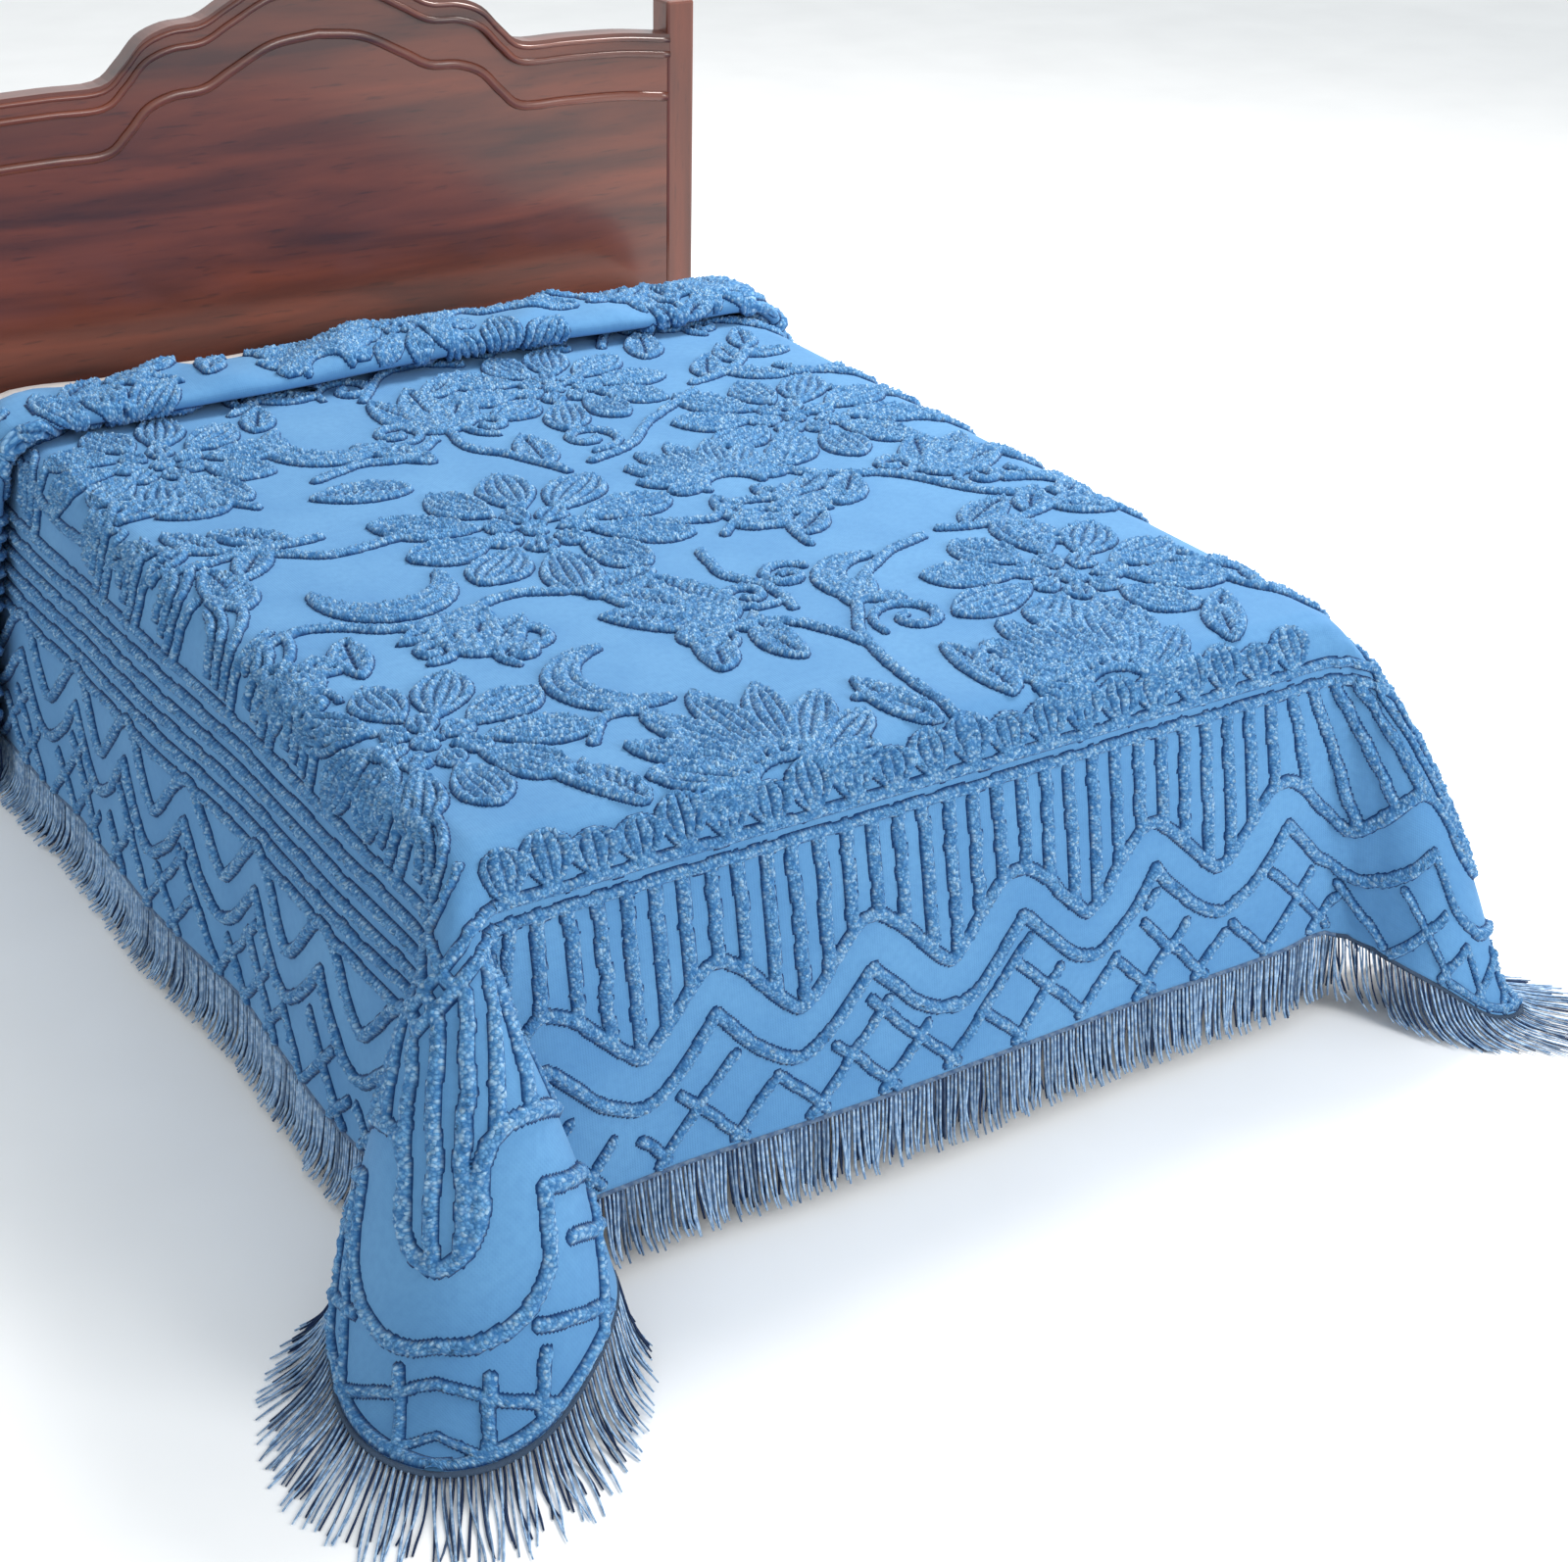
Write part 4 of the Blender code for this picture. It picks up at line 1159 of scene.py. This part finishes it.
# %% The field
Motif = namedtuple("Motif", "draw p q turn size hand")
FIELD = [
    Motif(fan, -0.23, -1.050, 92, 0.29, 1),
    Motif(fan, 0.33, -1.050, 84, 0.28, -1),
    Motif(frond, -0.44, -1.000, 105, 0.17, 1),
    Motif(frond, 0.03, -1.000, 120, 0.17, -1),
    Motif(frond, 0.16, -0.985, 75, 0.18, 1),
    Motif(frond, 0.56, -1.000, 70, 0.17, -1),
    Motif(blossom, -0.62, -0.715, 20, 0.42, 1),
    Motif(crescent, -0.300, -0.660, 60, 0.100, 1),
    Motif(frond, -0.16, -0.72, 60, 0.16, 1),
    Motif(frond, -0.03, -0.74, 100, 0.17, -1),
    Motif(scroll, 0.185, -0.700, 200, 0.070, -1),
    Motif(blossom, 0.49, -0.695, -65, 0.46, -1),
    Motif(crescent, 0.215, -0.545, 40, 0.085, 1),
    Motif(tulip, -0.66, -0.475, 150, 0.16, 1),
    Motif(tulip, -0.44, -0.500, 60, 0.18, -1),
    Motif(scroll, -0.345, -0.470, 120, 0.060, 1),
    Motif(tulip, -0.045, -0.575, 125, 0.24, 1),
    Motif(scroll, 0.105, -0.475, 20, 0.048, 1),
    Motif(spray, 0.21, -0.405, 65, 0.24, -1),
    Motif(spray, 0.40, -0.425, 0, 0.30, 1),
    Motif(leaf, 0.34, -0.27, 40, 0.15, 1),
    Motif(crescent, -0.455, -0.225, 30, 0.105, -1),
    Motif(leaf, -0.66, -0.19, 80, 0.17, 1),
    Motif(blossom, -0.135, -0.125, 40, 0.48, 1),
    Motif(frond, -0.36, -0.385, 175, 0.16, 1),
    Motif(leaf, -0.20, -0.395, 10, 0.15, 1),
    Motif(spray, 0.10, -0.300, 20, 0.22, -1),
    Motif(tulip, 0.56, -0.235, 40, 0.22, -1),
    Motif(fan, 0.245, -0.115, 90, 0.22, 1),
    Motif(blossom, 0.52, 0.11, 15, 0.44, 1),
    Motif(spray, -0.42, 0.02, 165, 0.28, -1),
    Motif(spray, -0.46, 0.16, 150, 0.26, 1),
    Motif(leaf, -0.22, 0.13, 160, 0.17, 1),
    Motif(leaf, 0.02, 0.12, 70, 0.15, 1),
    Motif(scroll, 0.15, 0.20, 250, 0.065, 1),
    Motif(frond, -0.13, 0.22, 110, 0.16, 1),
    Motif(blossom, -0.53, 0.43, 70, 0.42, -1),
    Motif(crescent, -0.255, 0.395, 100, 0.100, 1),
    Motif(tulip, -0.05, 0.34, 80, 0.24, 1),
    Motif(leaf, -0.33, 0.50, 60, 0.13, 1),
    Motif(leaf, 0.00, 0.52, 30, 0.13, 1),
    Motif(frond, 0.36, 0.62, 120, 0.14, 1),
    Motif(leaf, -0.58, -0.36, 250, 0.13, 1),
    Motif(leaf, 0.13, -0.62, 50, 0.12, -1),
    Motif(leaf, 0.40, -0.06, 60, 0.13, 1),
    Motif(blossom, 0.23, 0.45, 30, 0.40, 1),
    Motif(spray, 0.44, 0.36, 30, 0.26, 1),
    Motif(leaf, 0.46, 0.52, 60, 0.15, 1),
    Motif(frond, -0.70, 0.66, 20, 0.17, 1),
    Motif(spray, -0.35, 0.60, 50, 0.24, 1),
    Motif(scroll, -0.10, 0.62, 200, 0.065, -1),
    Motif(tulip, 0.58, 0.64, 70, 0.19, 1),
    Motif(blossom, -0.55, 0.90, 10, 0.38, 1),
    Motif(spray, -0.25, 0.76, 20, 0.28, -1),
    Motif(blossom, 0.22, 0.86, 50, 0.38, 1),
    Motif(spray, 0.48, 0.80, 60, 0.27, 1),
    Motif(fan, -0.13, 0.99, 90, 0.18, 1),
    Motif(frond, 0.60, 1.05, 20, 0.15, 1),
    Motif(frond, -0.34, 1.04, 60, 0.14, 1),
    Motif(frond, 0.42, 1.06, 150, 0.14, 1),
    Motif(spray, -0.66, 1.06, 10, 0.24, 1),
    Motif(crescent, -0.42, 1.08, 40, 0.060, 1),
    Motif(blossom, 0.06, 1.09, 15, 0.26, 1),
    Motif(spray, 0.16, 1.10, 15, 0.24, -1),
    Motif(tulip, 0.50, 1.06, 60, 0.15, 1),
    Motif(tulip, 0.72, 1.02, 110, 0.15, -1),
    Motif(leaf, -0.24, 1.12, 20, 0.14, 1),
]
LEAF_WIDTH = 0.50
LEAF_BEND = 0.12
for motif in FIELD:
    turn = math.radians(motif.turn)
    if motif.draw is leaf:
        width, bend = motif.size * LEAF_WIDTH, LEAF_BEND * motif.hand
        leaf(motif.p, motif.q, turn, motif.size, width, bend)
    else:
        motif.draw(motif.p, motif.q, turn, motif.size, motif.hand)
print(len(FIELD), "motifs")

# %% The field's margins, stems and foot
MARGIN_OUT = 0.80
MARGIN_SHIFT = 0.05
Margin = namedtuple("Margin", "q turn size")
MARGIN = [
    Margin(-0.97, -10, 0.15),
    Margin(-0.83, -25, 0.17),
    Margin(-0.55, -15, 0.15),
    Margin(-0.41, -20, 0.20),
    Margin(-0.27, -10, 0.22),
    Margin(-0.06, -30, 0.16),
    Margin(0.10, -35, 0.14),
    Margin(0.24, -30, 0.16),
    Margin(0.56, -20, 0.15),
    Margin(0.74, -30, 0.16),
    Margin(0.92, -20, 0.14),
    Margin(1.08, -30, 0.14),
]
STEM_ROPE = 0.020
STEMS = [
    [(0.06, -1.07), (0.055, -0.90), (0.075, -0.74), (0.15, -0.60), (0.27, -0.49), (0.38, -0.45)],
    [(0.075, -0.74), (0.04, -0.66), (-0.02, -0.60), (-0.10, -0.60)],
    [(-0.43, -0.82), (-0.37, -0.76), (-0.31, -0.80), (-0.34, -0.92)],
    [(-0.74, -0.33), (-0.60, -0.30), (-0.50, -0.36), (-0.40, -0.36), (-0.30, -0.33),
     (-0.22, -0.36)],
    [(0.04, -0.33), (0.02, -0.42), (0.06, -0.50), (0.05, -0.58)],
    [(0.06, -0.20), (0.13, -0.22), (0.20, -0.18), (0.26, -0.20), (0.32, -0.27)],
    [(0.34, -0.04), (0.37, -0.12), (0.43, -0.16), (0.50, -0.20), (0.58, -0.33), (0.66, -0.40)],
    [(-0.34, -0.05), (-0.46, -0.06), (-0.56, 0.00), (-0.68, 0.00)],
    [(0.04, 0.08), (0.00, 0.18), (-0.05, 0.26), (-0.04, 0.34)],
    [(-0.34, 0.24), (-0.24, 0.27), (-0.16, 0.26), (-0.08, 0.32)],
    [(0.10, 0.10), (0.20, 0.14), (0.28, 0.22), (0.36, 0.27), (0.44, 0.32)],
    [(-0.70, 0.22), (-0.76, 0.32), (-0.76, 0.46), (-0.72, 0.60)],
    [(-0.10, 0.56), (-0.02, 0.66), (0.06, 0.68), (0.14, 0.64)],
    [(0.42, 0.62), (0.50, 0.72), (0.60, 0.74), (0.68, 0.70)],
]
for row in MARGIN:
    comb(-MARGIN_OUT, row.q, math.radians(row.turn), row.size, 1)
    comb(MARGIN_OUT, row.q + MARGIN_SHIFT, math.radians(180 - row.turn), row.size, -1)
for stem in STEMS:
    rope(wander(smooth_path(stem, 8)), STEM_ROPE)
FOOT_PETALS = np.arange(-0.665, 0.67, 0.066)
for i, middle in enumerate(FOOT_PETALS):
    length = 0.088 + 0.012 * math.sin(1.9 * i)
    petal(middle, FOOT_LINE + 0.020, math.pi / 2, length, 0.080, 4, 1.5)
print(len(STEMS), "stems, share tufted", round(float((PILE > 0).mean()), 3))

# %% [markdown]
# Laying the map over the drape: the drape is worked out on every other line and filled in by
# cubics, its normals come from neighbouring points, and the pile stands along them from the
# cloth's upper face. Cut yarn is never even, so each point's height is varied by chance.
# The rim of each rope dips 0.5 mm into the cloth, so no gap shows under it.

# %% The pile
PILE_DIP = 0.0005
PILE_UNEVEN = 0.20
PILE_PIECES = 5

fine = doubled(np.moveaxis(doubled(cloth_point(*np.meshgrid(coarse_p, coarse_q))), 1, 0))
fine = np.moveaxis(fine, 0, 1)
normal = np.cross(np.gradient(fine, axis=1), np.gradient(fine, axis=0))
normal = normal / np.linalg.norm(normal, axis=-1, keepdims=True)
rough = 1 + PILE_UNEVEN * np.random.default_rng(11).normal(0, 1, PILE.shape).clip(-2, 2)
stand = GROUND_THICKNESS / 2 - PILE_DIP + PILE * rough
surface = fine + normal * stand[..., None]
surface[..., 2] = np.maximum(surface[..., 2], 0.001)
MAP_PLAN = np.stack(np.meshgrid(MAP_P, MAP_Q), -1)


def tufted_quads():
    """Quads of the map with pile at one corner or more, split by rows into pieces of like size."""
    quads = grid_faces(*PILE.shape)
    quads = quads[(PILE.reshape(-1)[quads] > 0).any(1)]
    return np.array_split(quads, PILE_PIECES)


for number, quads in enumerate(tufted_quads(), 1):
    used, faces = np.unique(quads, return_inverse=True)
    new_piece(
            f"chenille_tufts_{number}",
            surface.reshape(-1, 3)[used],
            faces.reshape(-1, 4),
            CHENILLE_PILE,
            MAP_PLAN.reshape(-1, 2)[used],
            ("pile", PILE.reshape(-1)[used]),
        )

# %% [markdown]
# The fringe hangs from a braided heading on the hem. Each strand is a thin cord of its own,
# four-sided because nobody can count the sides of something 4 mm thick. Its line carries on
# where the cloth stops: the drape function also answers beyond the hem, and where the cloth's
# corners reach the floor it makes the strands lie down and splay.

# %% The fringe's lines
Run = namedtuple("Run", "node part side start end pitch radius")


def beyond_hem(run, place, beyond):
    """The cloth's own coordinates this far beyond the hem, as if the cloth went on."""
    past = DROP + beyond
    if run.part == "side":
        return run.side * (BED_WIDTH / 2 + past) + 0 * place, place + 0 * past
    if run.part == "foot":
        return place + 0 * past, FOOT - past + 0 * place
    angle = np.radians(place)
    square = past / np.maximum(np.cos(angle), np.sin(angle))
    return run.side * (BED_WIDTH / 2 + square * np.cos(angle)), FOOT - square * np.sin(angle)


RUNS = [
    Run("fringe_left_side", "side", -1, FOOT, TOP_EDGE, 0.0070, 0.0022),
    Run("fringe_left_corner", "corner", -1, 0, 90, 0.0100, 0.0018),
    Run("fringe_foot", "foot", 1, -BED_WIDTH / 2, BED_WIDTH / 2, 0.0070, 0.0022),
    Run("fringe_right_corner", "corner", 1, 0, 90, 0.0100, 0.0018),
    Run("fringe_right_side", "side", 1, FOOT, TOP_EDGE, 0.0070, 0.0022),
]


def even_places(run, pitch):
    """Places along a run that are this far apart on the hem as it hangs."""
    trial = np.linspace(run.start, run.end, 400)
    hem = cloth_point(*beyond_hem(run, trial, 0 * trial))
    length = np.concatenate([[0], np.cumsum(np.linalg.norm(np.diff(hem, axis=0), axis=1))])
    return np.interp(np.linspace(0, length[-1], int(length[-1] / pitch)), length, trial)


print("fringe runs:", [run.node for run in RUNS])

# %% Strands
FRINGE_LENGTH = 0.126
STRAND_LEVELS = 8
STRAND_START = 0.002
BACK_ROW = 0.0036
BUNCH_CHANCE = 0.35
BUNCH_DRAW = 0.25
TRIM_UNEVEN = 0.16
BACK_SHORTER = 0.14
FLOOR_GAP = 0.0006


def strand_lines(run, luck, back):
    """Points down the middle of every strand. Tips lean aside, and close up in small bunches."""
    place = even_places(run, run.pitch)
    count, pitch = len(place), np.gradient(place)
    ends = sorted((run.start, run.end))
    place = np.clip(place + 0.5 * back * pitch, *ends)
    level = np.linspace(0, 1, STRAND_LEVELS)
    bunch = np.cumsum(luck.random(count) < BUNCH_CHANCE)
    middle = np.bincount(bunch, place) / np.maximum(np.bincount(bunch), 1)
    lean = luck.normal(0, 0.40, count) + 0.8 * np.sin(np.arange(count) / 17 + run.start)
    wave = luck.normal(0, 0.30, count)
    turn = luck.uniform(0, 6.28, count)
    drawn = BUNCH_DRAW * (middle[bunch] - place)
    sway = lean[:, None] * level**1.5 + wave[:, None] * np.sin(turn[:, None] + 5 * level) * level
    spot = place[:, None] + drawn[:, None] * level + sway * pitch[:, None]
    trim = 1 - TRIM_UNEVEN * luck.random(count) ** 1.3 - BACK_SHORTER * back
    beyond = STRAND_START + (FRINGE_LENGTH - STRAND_START) * level * trim[:, None]
    return cloth_point(*beyond_hem(run, np.clip(spot, *ends), beyond))


def strand_mesh(lines, radius, luck, back):
    """Square tubes about the lines: two directions across each line, found by cross products."""
    count, levels = lines.shape[:2]
    ahead = np.gradient(lines, axis=1)
    ahead = ahead / np.linalg.norm(ahead, axis=-1, keepdims=True)
    beside = np.gradient(lines[:, :1], axis=0) + 0 * lines
    out = np.cross(ahead, beside)
    out = out / np.linalg.norm(out, axis=-1, keepdims=True)
    beside = np.cross(out, ahead)
    outward = np.sign((out * lines)[:, :1, :2].sum(-1, keepdims=True))
    depth = luck.uniform(-0.0015, 0.0015, (count, 1, 1)) - back * BACK_ROW
    middle = lines + out * outward * depth * np.linspace(0.5, 1, levels)[:, None]
    turn = luck.uniform(0, 1.57, count)[:, None] + np.linspace(0, 1.2, levels)
    taper = np.interp(np.linspace(0, 1, levels), [0, 0.2, 0.9, 1], [0.8, 1.05, 0.95, 0.7])
    thick = radius * luck.uniform(0.85, 1.15, count)[:, None] * taper
    corner = turn[..., None] + np.arange(4) * math.pi / 2
    ring = beside[:, :, None] * np.cos(corner)[..., None]
    ring = ring + out[:, :, None] * np.sin(corner)[..., None]
    points = middle[:, :, None] + ring * thick[..., None, None]
    floor = FLOOR_GAP + (np.sin(corner) + 1) * radius * 0.8
    points[..., 2] = np.maximum(points[..., 2], floor)
    first = np.arange(count)[:, None, None] * levels * 4
    last = (levels - 1) * 4
    ends = np.array([[3, 2, 1, 0], [last, last + 1, last + 2, last + 3]])
    tube = grid_faces(levels, 4, closed=True)
    faces = [(quads + first).reshape(-1, 4) for quads in (tube, ends)]
    along = np.linalg.norm(np.diff(lines, axis=1, prepend=lines[:, :1]), axis=-1).cumsum(1)
    v = np.repeat(along[..., None], 4, -1) + luck.random(count)[:, None, None]
    u = np.broadcast_to(np.arange(4) * TWIST / 4, v.shape)
    plan = np.stack([u, v], -1).reshape(-1, 2)
    bunch_shade = np.repeat(luck.random(count // 6 + 1), 6)[:count]
    # Painted shade: 0.75 darkens every strand of the back row; the rest is random tone, by bunch
    # and by strand.
    cord_tone_and_painted_shade = np.clip(0.75 * back + 0.45 * bunch_shade + luck.normal(0, 0.16, count), 0, 1)
    return points.reshape(-1, 3), np.concatenate(faces), plan, np.repeat(cord_tone_and_painted_shade, levels * 4)


print("strands", FRINGE_LENGTH, "m long at most")

# %% The braided heading
HEADING_ABOVE = 0.003
HEADING_HEIGHT = 0.006
HEADING_THICK = 0.0027
HEADING_STEP = 0.008
HEADING_SHADE = 0.70


def heading_mesh(run):
    """A flat braid swept along the hem: an eight-point oval, wider down than it is thick."""
    place = even_places(run, HEADING_STEP)
    count = len(place)
    beyond = np.array([-HEADING_ABOVE, HEADING_HEIGHT])
    pair = cloth_point(*beyond_hem(run, place[:, None], beyond[None, :] + 0 * place[:, None]))
    down = pair[:, 1] - pair[:, 0]
    middle = pair.mean(1)
    beside = np.gradient(middle, axis=0)
    out = np.cross(down, beside)
    out = out / np.linalg.norm(out, axis=-1, keepdims=True)
    angle = np.arange(8) * math.pi / 4
    ring = down[:, None] / 2 * np.cos(angle)[:, None]
    ring = ring + out[:, None] * HEADING_THICK * np.sin(angle)[:, None]
    points = middle[:, None] + ring
    points[..., 2] = np.maximum(points[..., 2], FLOOR_GAP)
    faces = grid_faces(count, 8, closed=True)
    caps = np.array([[0, 1, 2, 3], [3, 4, 7, 0], [4, 5, 6, 7]])
    faces = np.concatenate([faces, caps[:, ::-1], caps + (count - 1) * 8])
    plan = np.stack(np.broadcast_arrays(place[:, None], angle[None, :] * 0.004), -1).reshape(-1, 2)
    return points.reshape(-1, 3), faces, plan, np.full(count * 8, HEADING_SHADE)


print("heading", HEADING_ABOVE + HEADING_HEIGHT, "m high")

# %% Fringe on all five runs
for seed, run in enumerate(RUNS, 21):
    luck, parts = np.random.default_rng(seed), [heading_mesh(run)]
    for back in (0, 1):
        parts.append(strand_mesh(strand_lines(run, luck, back), run.radius, luck, back))
    before = np.cumsum([0] + [len(part[0]) for part in parts])
    faces = np.concatenate([part[1] + first for part, first in zip(parts, before)])
    points, plan, cord_tone_and_painted_shade = (np.concatenate([part[place] for part in parts]) for place in (0, 2, 3))
    piece = new_piece(
        run.node + "_cords", points, faces, FRINGE_CORD, plan, ("cord_tone_and_painted_shade", cord_tone_and_painted_shade)
    )
    mesh = bmesh.new()
    mesh.from_mesh(piece.data)
    bmesh.ops.recalc_face_normals(mesh, faces=mesh.faces)
    mesh.to_mesh(piece.data)
    mesh.free()
    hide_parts(run.node)

# %% [markdown]
# Under the cloth is a mattress in a fitted percale sheet, which shows between the bedspread's
# end and the headboard. It is a box whose points are pushed onto a rounded box: each point is
# pulled to the nearest place on a smaller box, then out again by the rounding.

# %% Mattress and sheet
MATTRESS_ROUND = 0.095
RIPPLE = 0.004


def rounded_box(low, high, rounding, cuts):
    """Box grid points moved to (nearest point of the inner box) + rounding * (way out from it)."""
    grid = bmesh.new()
    bmesh.ops.create_cube(grid, size=2)
    bmesh.ops.subdivide_edges(grid, edges=grid.edges, cuts=cuts, use_grid_fill=True)
    points = np.array([vert.co for vert in grid.verts])
    faces = np.array([[vert.index for vert in face.verts] for face in grid.faces])
    grid.free()
    half = (np.asarray(high) - np.asarray(low)) / 2
    points = points * half
    inner = np.clip(points, -(half - rounding), half - rounding)
    away = points - inner
    away = away / np.maximum(np.linalg.norm(away, axis=1, keepdims=True), 1e-9)
    return inner + away * rounding + (np.asarray(high) + np.asarray(low)) / 2, faces


low, high = (np.array(corner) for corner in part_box("mattress"))
points, faces = rounded_box(low, high, MATTRESS_ROUND, 47)
x, y, z = points.T
near_head = np.clip((y - CREASE) / 0.2, 0, 1)
on_top = z > high[2] - 0.02
ripple = np.sin(x * 21 + 3 * np.sin(y * 9)) * np.sin(y * 34 + x * 5)
points[:, 2] -= on_top * near_head * RIPPLE * (1 + ripple)
MATTRESS = new_piece("mattress_and_sheet", points, faces, PERCALE)
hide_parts("mattress")

# %% [markdown]
# The base and the headboard keep their solids and get their materials. The headboard's arched
# rail also has mouldings: half-round beads swept along the arch, one near its top, one on its
# lower edge, and one on the panel below it. The arch is the smooth curve that shaped the solid.

# %% Headboard mouldings
ArchRow = namedtuple("ArchRow", "out up")
HEAD_ARCH = [
    ArchRow(0.000, 1.318),
    ArchRow(0.090, 1.306),
    ArchRow(0.170, 1.268),
    ArchRow(0.225, 1.240),
    ArchRow(0.285, 1.234),
    ArchRow(0.335, 1.215),
    ArchRow(0.375, 1.175),
    ArchRow(0.420, 1.142),
    ArchRow(0.520, 1.140),
    ArchRow(0.640, 1.136),
    ArchRow(0.7495, 1.124),
]
BEAD_DIP = 0.001
Bead = namedtuple("Bead", "name below wide proud on")
BEADS = [
    Bead("bead_on_rail_top", 0.012, 0.010, 0.004, "headboard_rail"),
    Bead("bead_on_rail_foot", 0.040, 0.014, 0.006, "headboard_rail"),
    Bead("bead_on_panel", 0.125, 0.020, 0.007, "headboard_panel"),
]


def arch_bead(bead):
    """Half an oval swept along the lowered arch: wide across it, and proud towards the foot."""
    half = smooth_path(HEAD_ARCH, 6)
    arch = np.vstack([half[:0:-1] * (-1, 1), half])
    ahead = np.gradient(arch, axis=0)
    ahead = ahead / np.linalg.norm(ahead, axis=1, keepdims=True)
    across = np.stack([-ahead[:, 1], ahead[:, 0]], -1)
    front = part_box(bead.on)[0][1]
    angle = np.linspace(0, math.pi, 7)
    spread = (bead.wide / 2 * np.cos(angle))[:, None]
    place = (arch - (0, bead.below))[:, None] + across[:, None] * spread
    deep = front + BEAD_DIP - (bead.proud + BEAD_DIP) * np.sin(angle)
    deep = np.broadcast_to(deep, place.shape[:2])
    points = np.stack([place[..., 0], deep, place[..., 1]], -1).reshape(-1, 3)
    cap = np.array([[0, 1, 2, 3], [3, 4, 5, 6]])
    far_cap = cap[:, ::-1] + 7 * (len(arch) - 1)
    faces = np.concatenate([grid_faces(len(arch), 7, closed=True), cap, far_cap])
    return new_piece(bead.name, points, faces, MAHOGANY_RAIL)


for bead in BEADS:
    arch_bead(bead)

# %% Headboard and base finishes
FINISHES = {
    "headboard_panel": MAHOGANY_RAIL,
    "headboard_rail": MAHOGANY_RAIL,
    "headboard_post_left": MAHOGANY_POST,
    "headboard_post_right": MAHOGANY_POST,
    "bed_base": BASE_COVER,
}
for node, material in FINISHES.items():
    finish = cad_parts[node].data.materials
    finish.clear()
    finish.append(material)
print("finished", list(FINISHES))

# %% [markdown]
# The room is a pale floor and soft light. In the photograph the dark side of each rope is its
# left one, and the left drop is the darkest face, so the key lamp hangs to the right of the bed
# and towards its head. A weaker one from the front keeps the foot drop bright.

# %% Floor, lights and world
FLOOR_SIZE = 30.0
FLOOR_MOTTLE = 1 / 3


def studio_floor():
    material, tree, shader = new_material("pale_studio_floor")
    place = add_node(tree, "ShaderNodeTexCoord").outputs["Object"]
    faint = {"Vector": place, "Scale": 1 / FLOOR_MOTTLE, "Detail": 3.0}
    mottle = add_node(tree, "ShaderNodeTexNoise", faint).outputs[0]
    fill_inputs(tree, shader, {
        "Base Color": layered(tree, "#F8F8F8", [Layer(mottle, 0.3, 0.7, 1.0, "#FDFDFD")]),
        "Roughness": 0.8,
    })
    half = FLOOR_SIZE / 2
    corners = [(-half, -half, 0), (half, -half, 0), (half, half, 0), (-half, half, 0)]
    mesh = bpy.data.meshes.new("floor")
    mesh.from_pydata(corners, [], [(0, 1, 2, 3)])
    mesh.materials.append(material)
    floor = bpy.data.objects.new("floor", mesh)
    bpy.context.scene.collection.objects.link(floor)


def soft_lamp(name, place, aim, size, power, tint=(1, 1, 1)):
    """A square area light at place, turned so that its back axis points away from aim."""
    lamp = bpy.data.lights.new(name, "AREA")
    lamp.size = size
    lamp.energy = power
    lamp.color = tint
    holder = bpy.data.objects.new(name, lamp)
    bpy.context.scene.collection.objects.link(holder)
    holder.location = place
    back = np.array(place, float) - np.array(aim, float)
    tilt = math.acos(back[2] / np.linalg.norm(back))
    holder.rotation_euler = (tilt, 0, math.atan2(back[1], back[0]) + math.pi / 2)


studio_floor()
soft_lamp("key", (3.0, 1.2, 4.2), (0, -0.4, 0.4), 1.4, 240, (1.0, 0.96, 0.92))
soft_lamp("front", (2.2, -4.7, 3.0), (0, -0.6, 0.3), 2.5, 140)
world = bpy.data.worlds.new("studio")
world.use_nodes = True
world.node_tree.nodes["Background"].inputs["Color"].default_value = (0.94, 0.98, 1.0, 1)
world.node_tree.nodes["Background"].inputs["Strength"].default_value = 0.84
bpy.context.scene.world = world
bpy.context.scene.view_settings.view_transform = "Standard"
print("floor, two lamps and a white world")
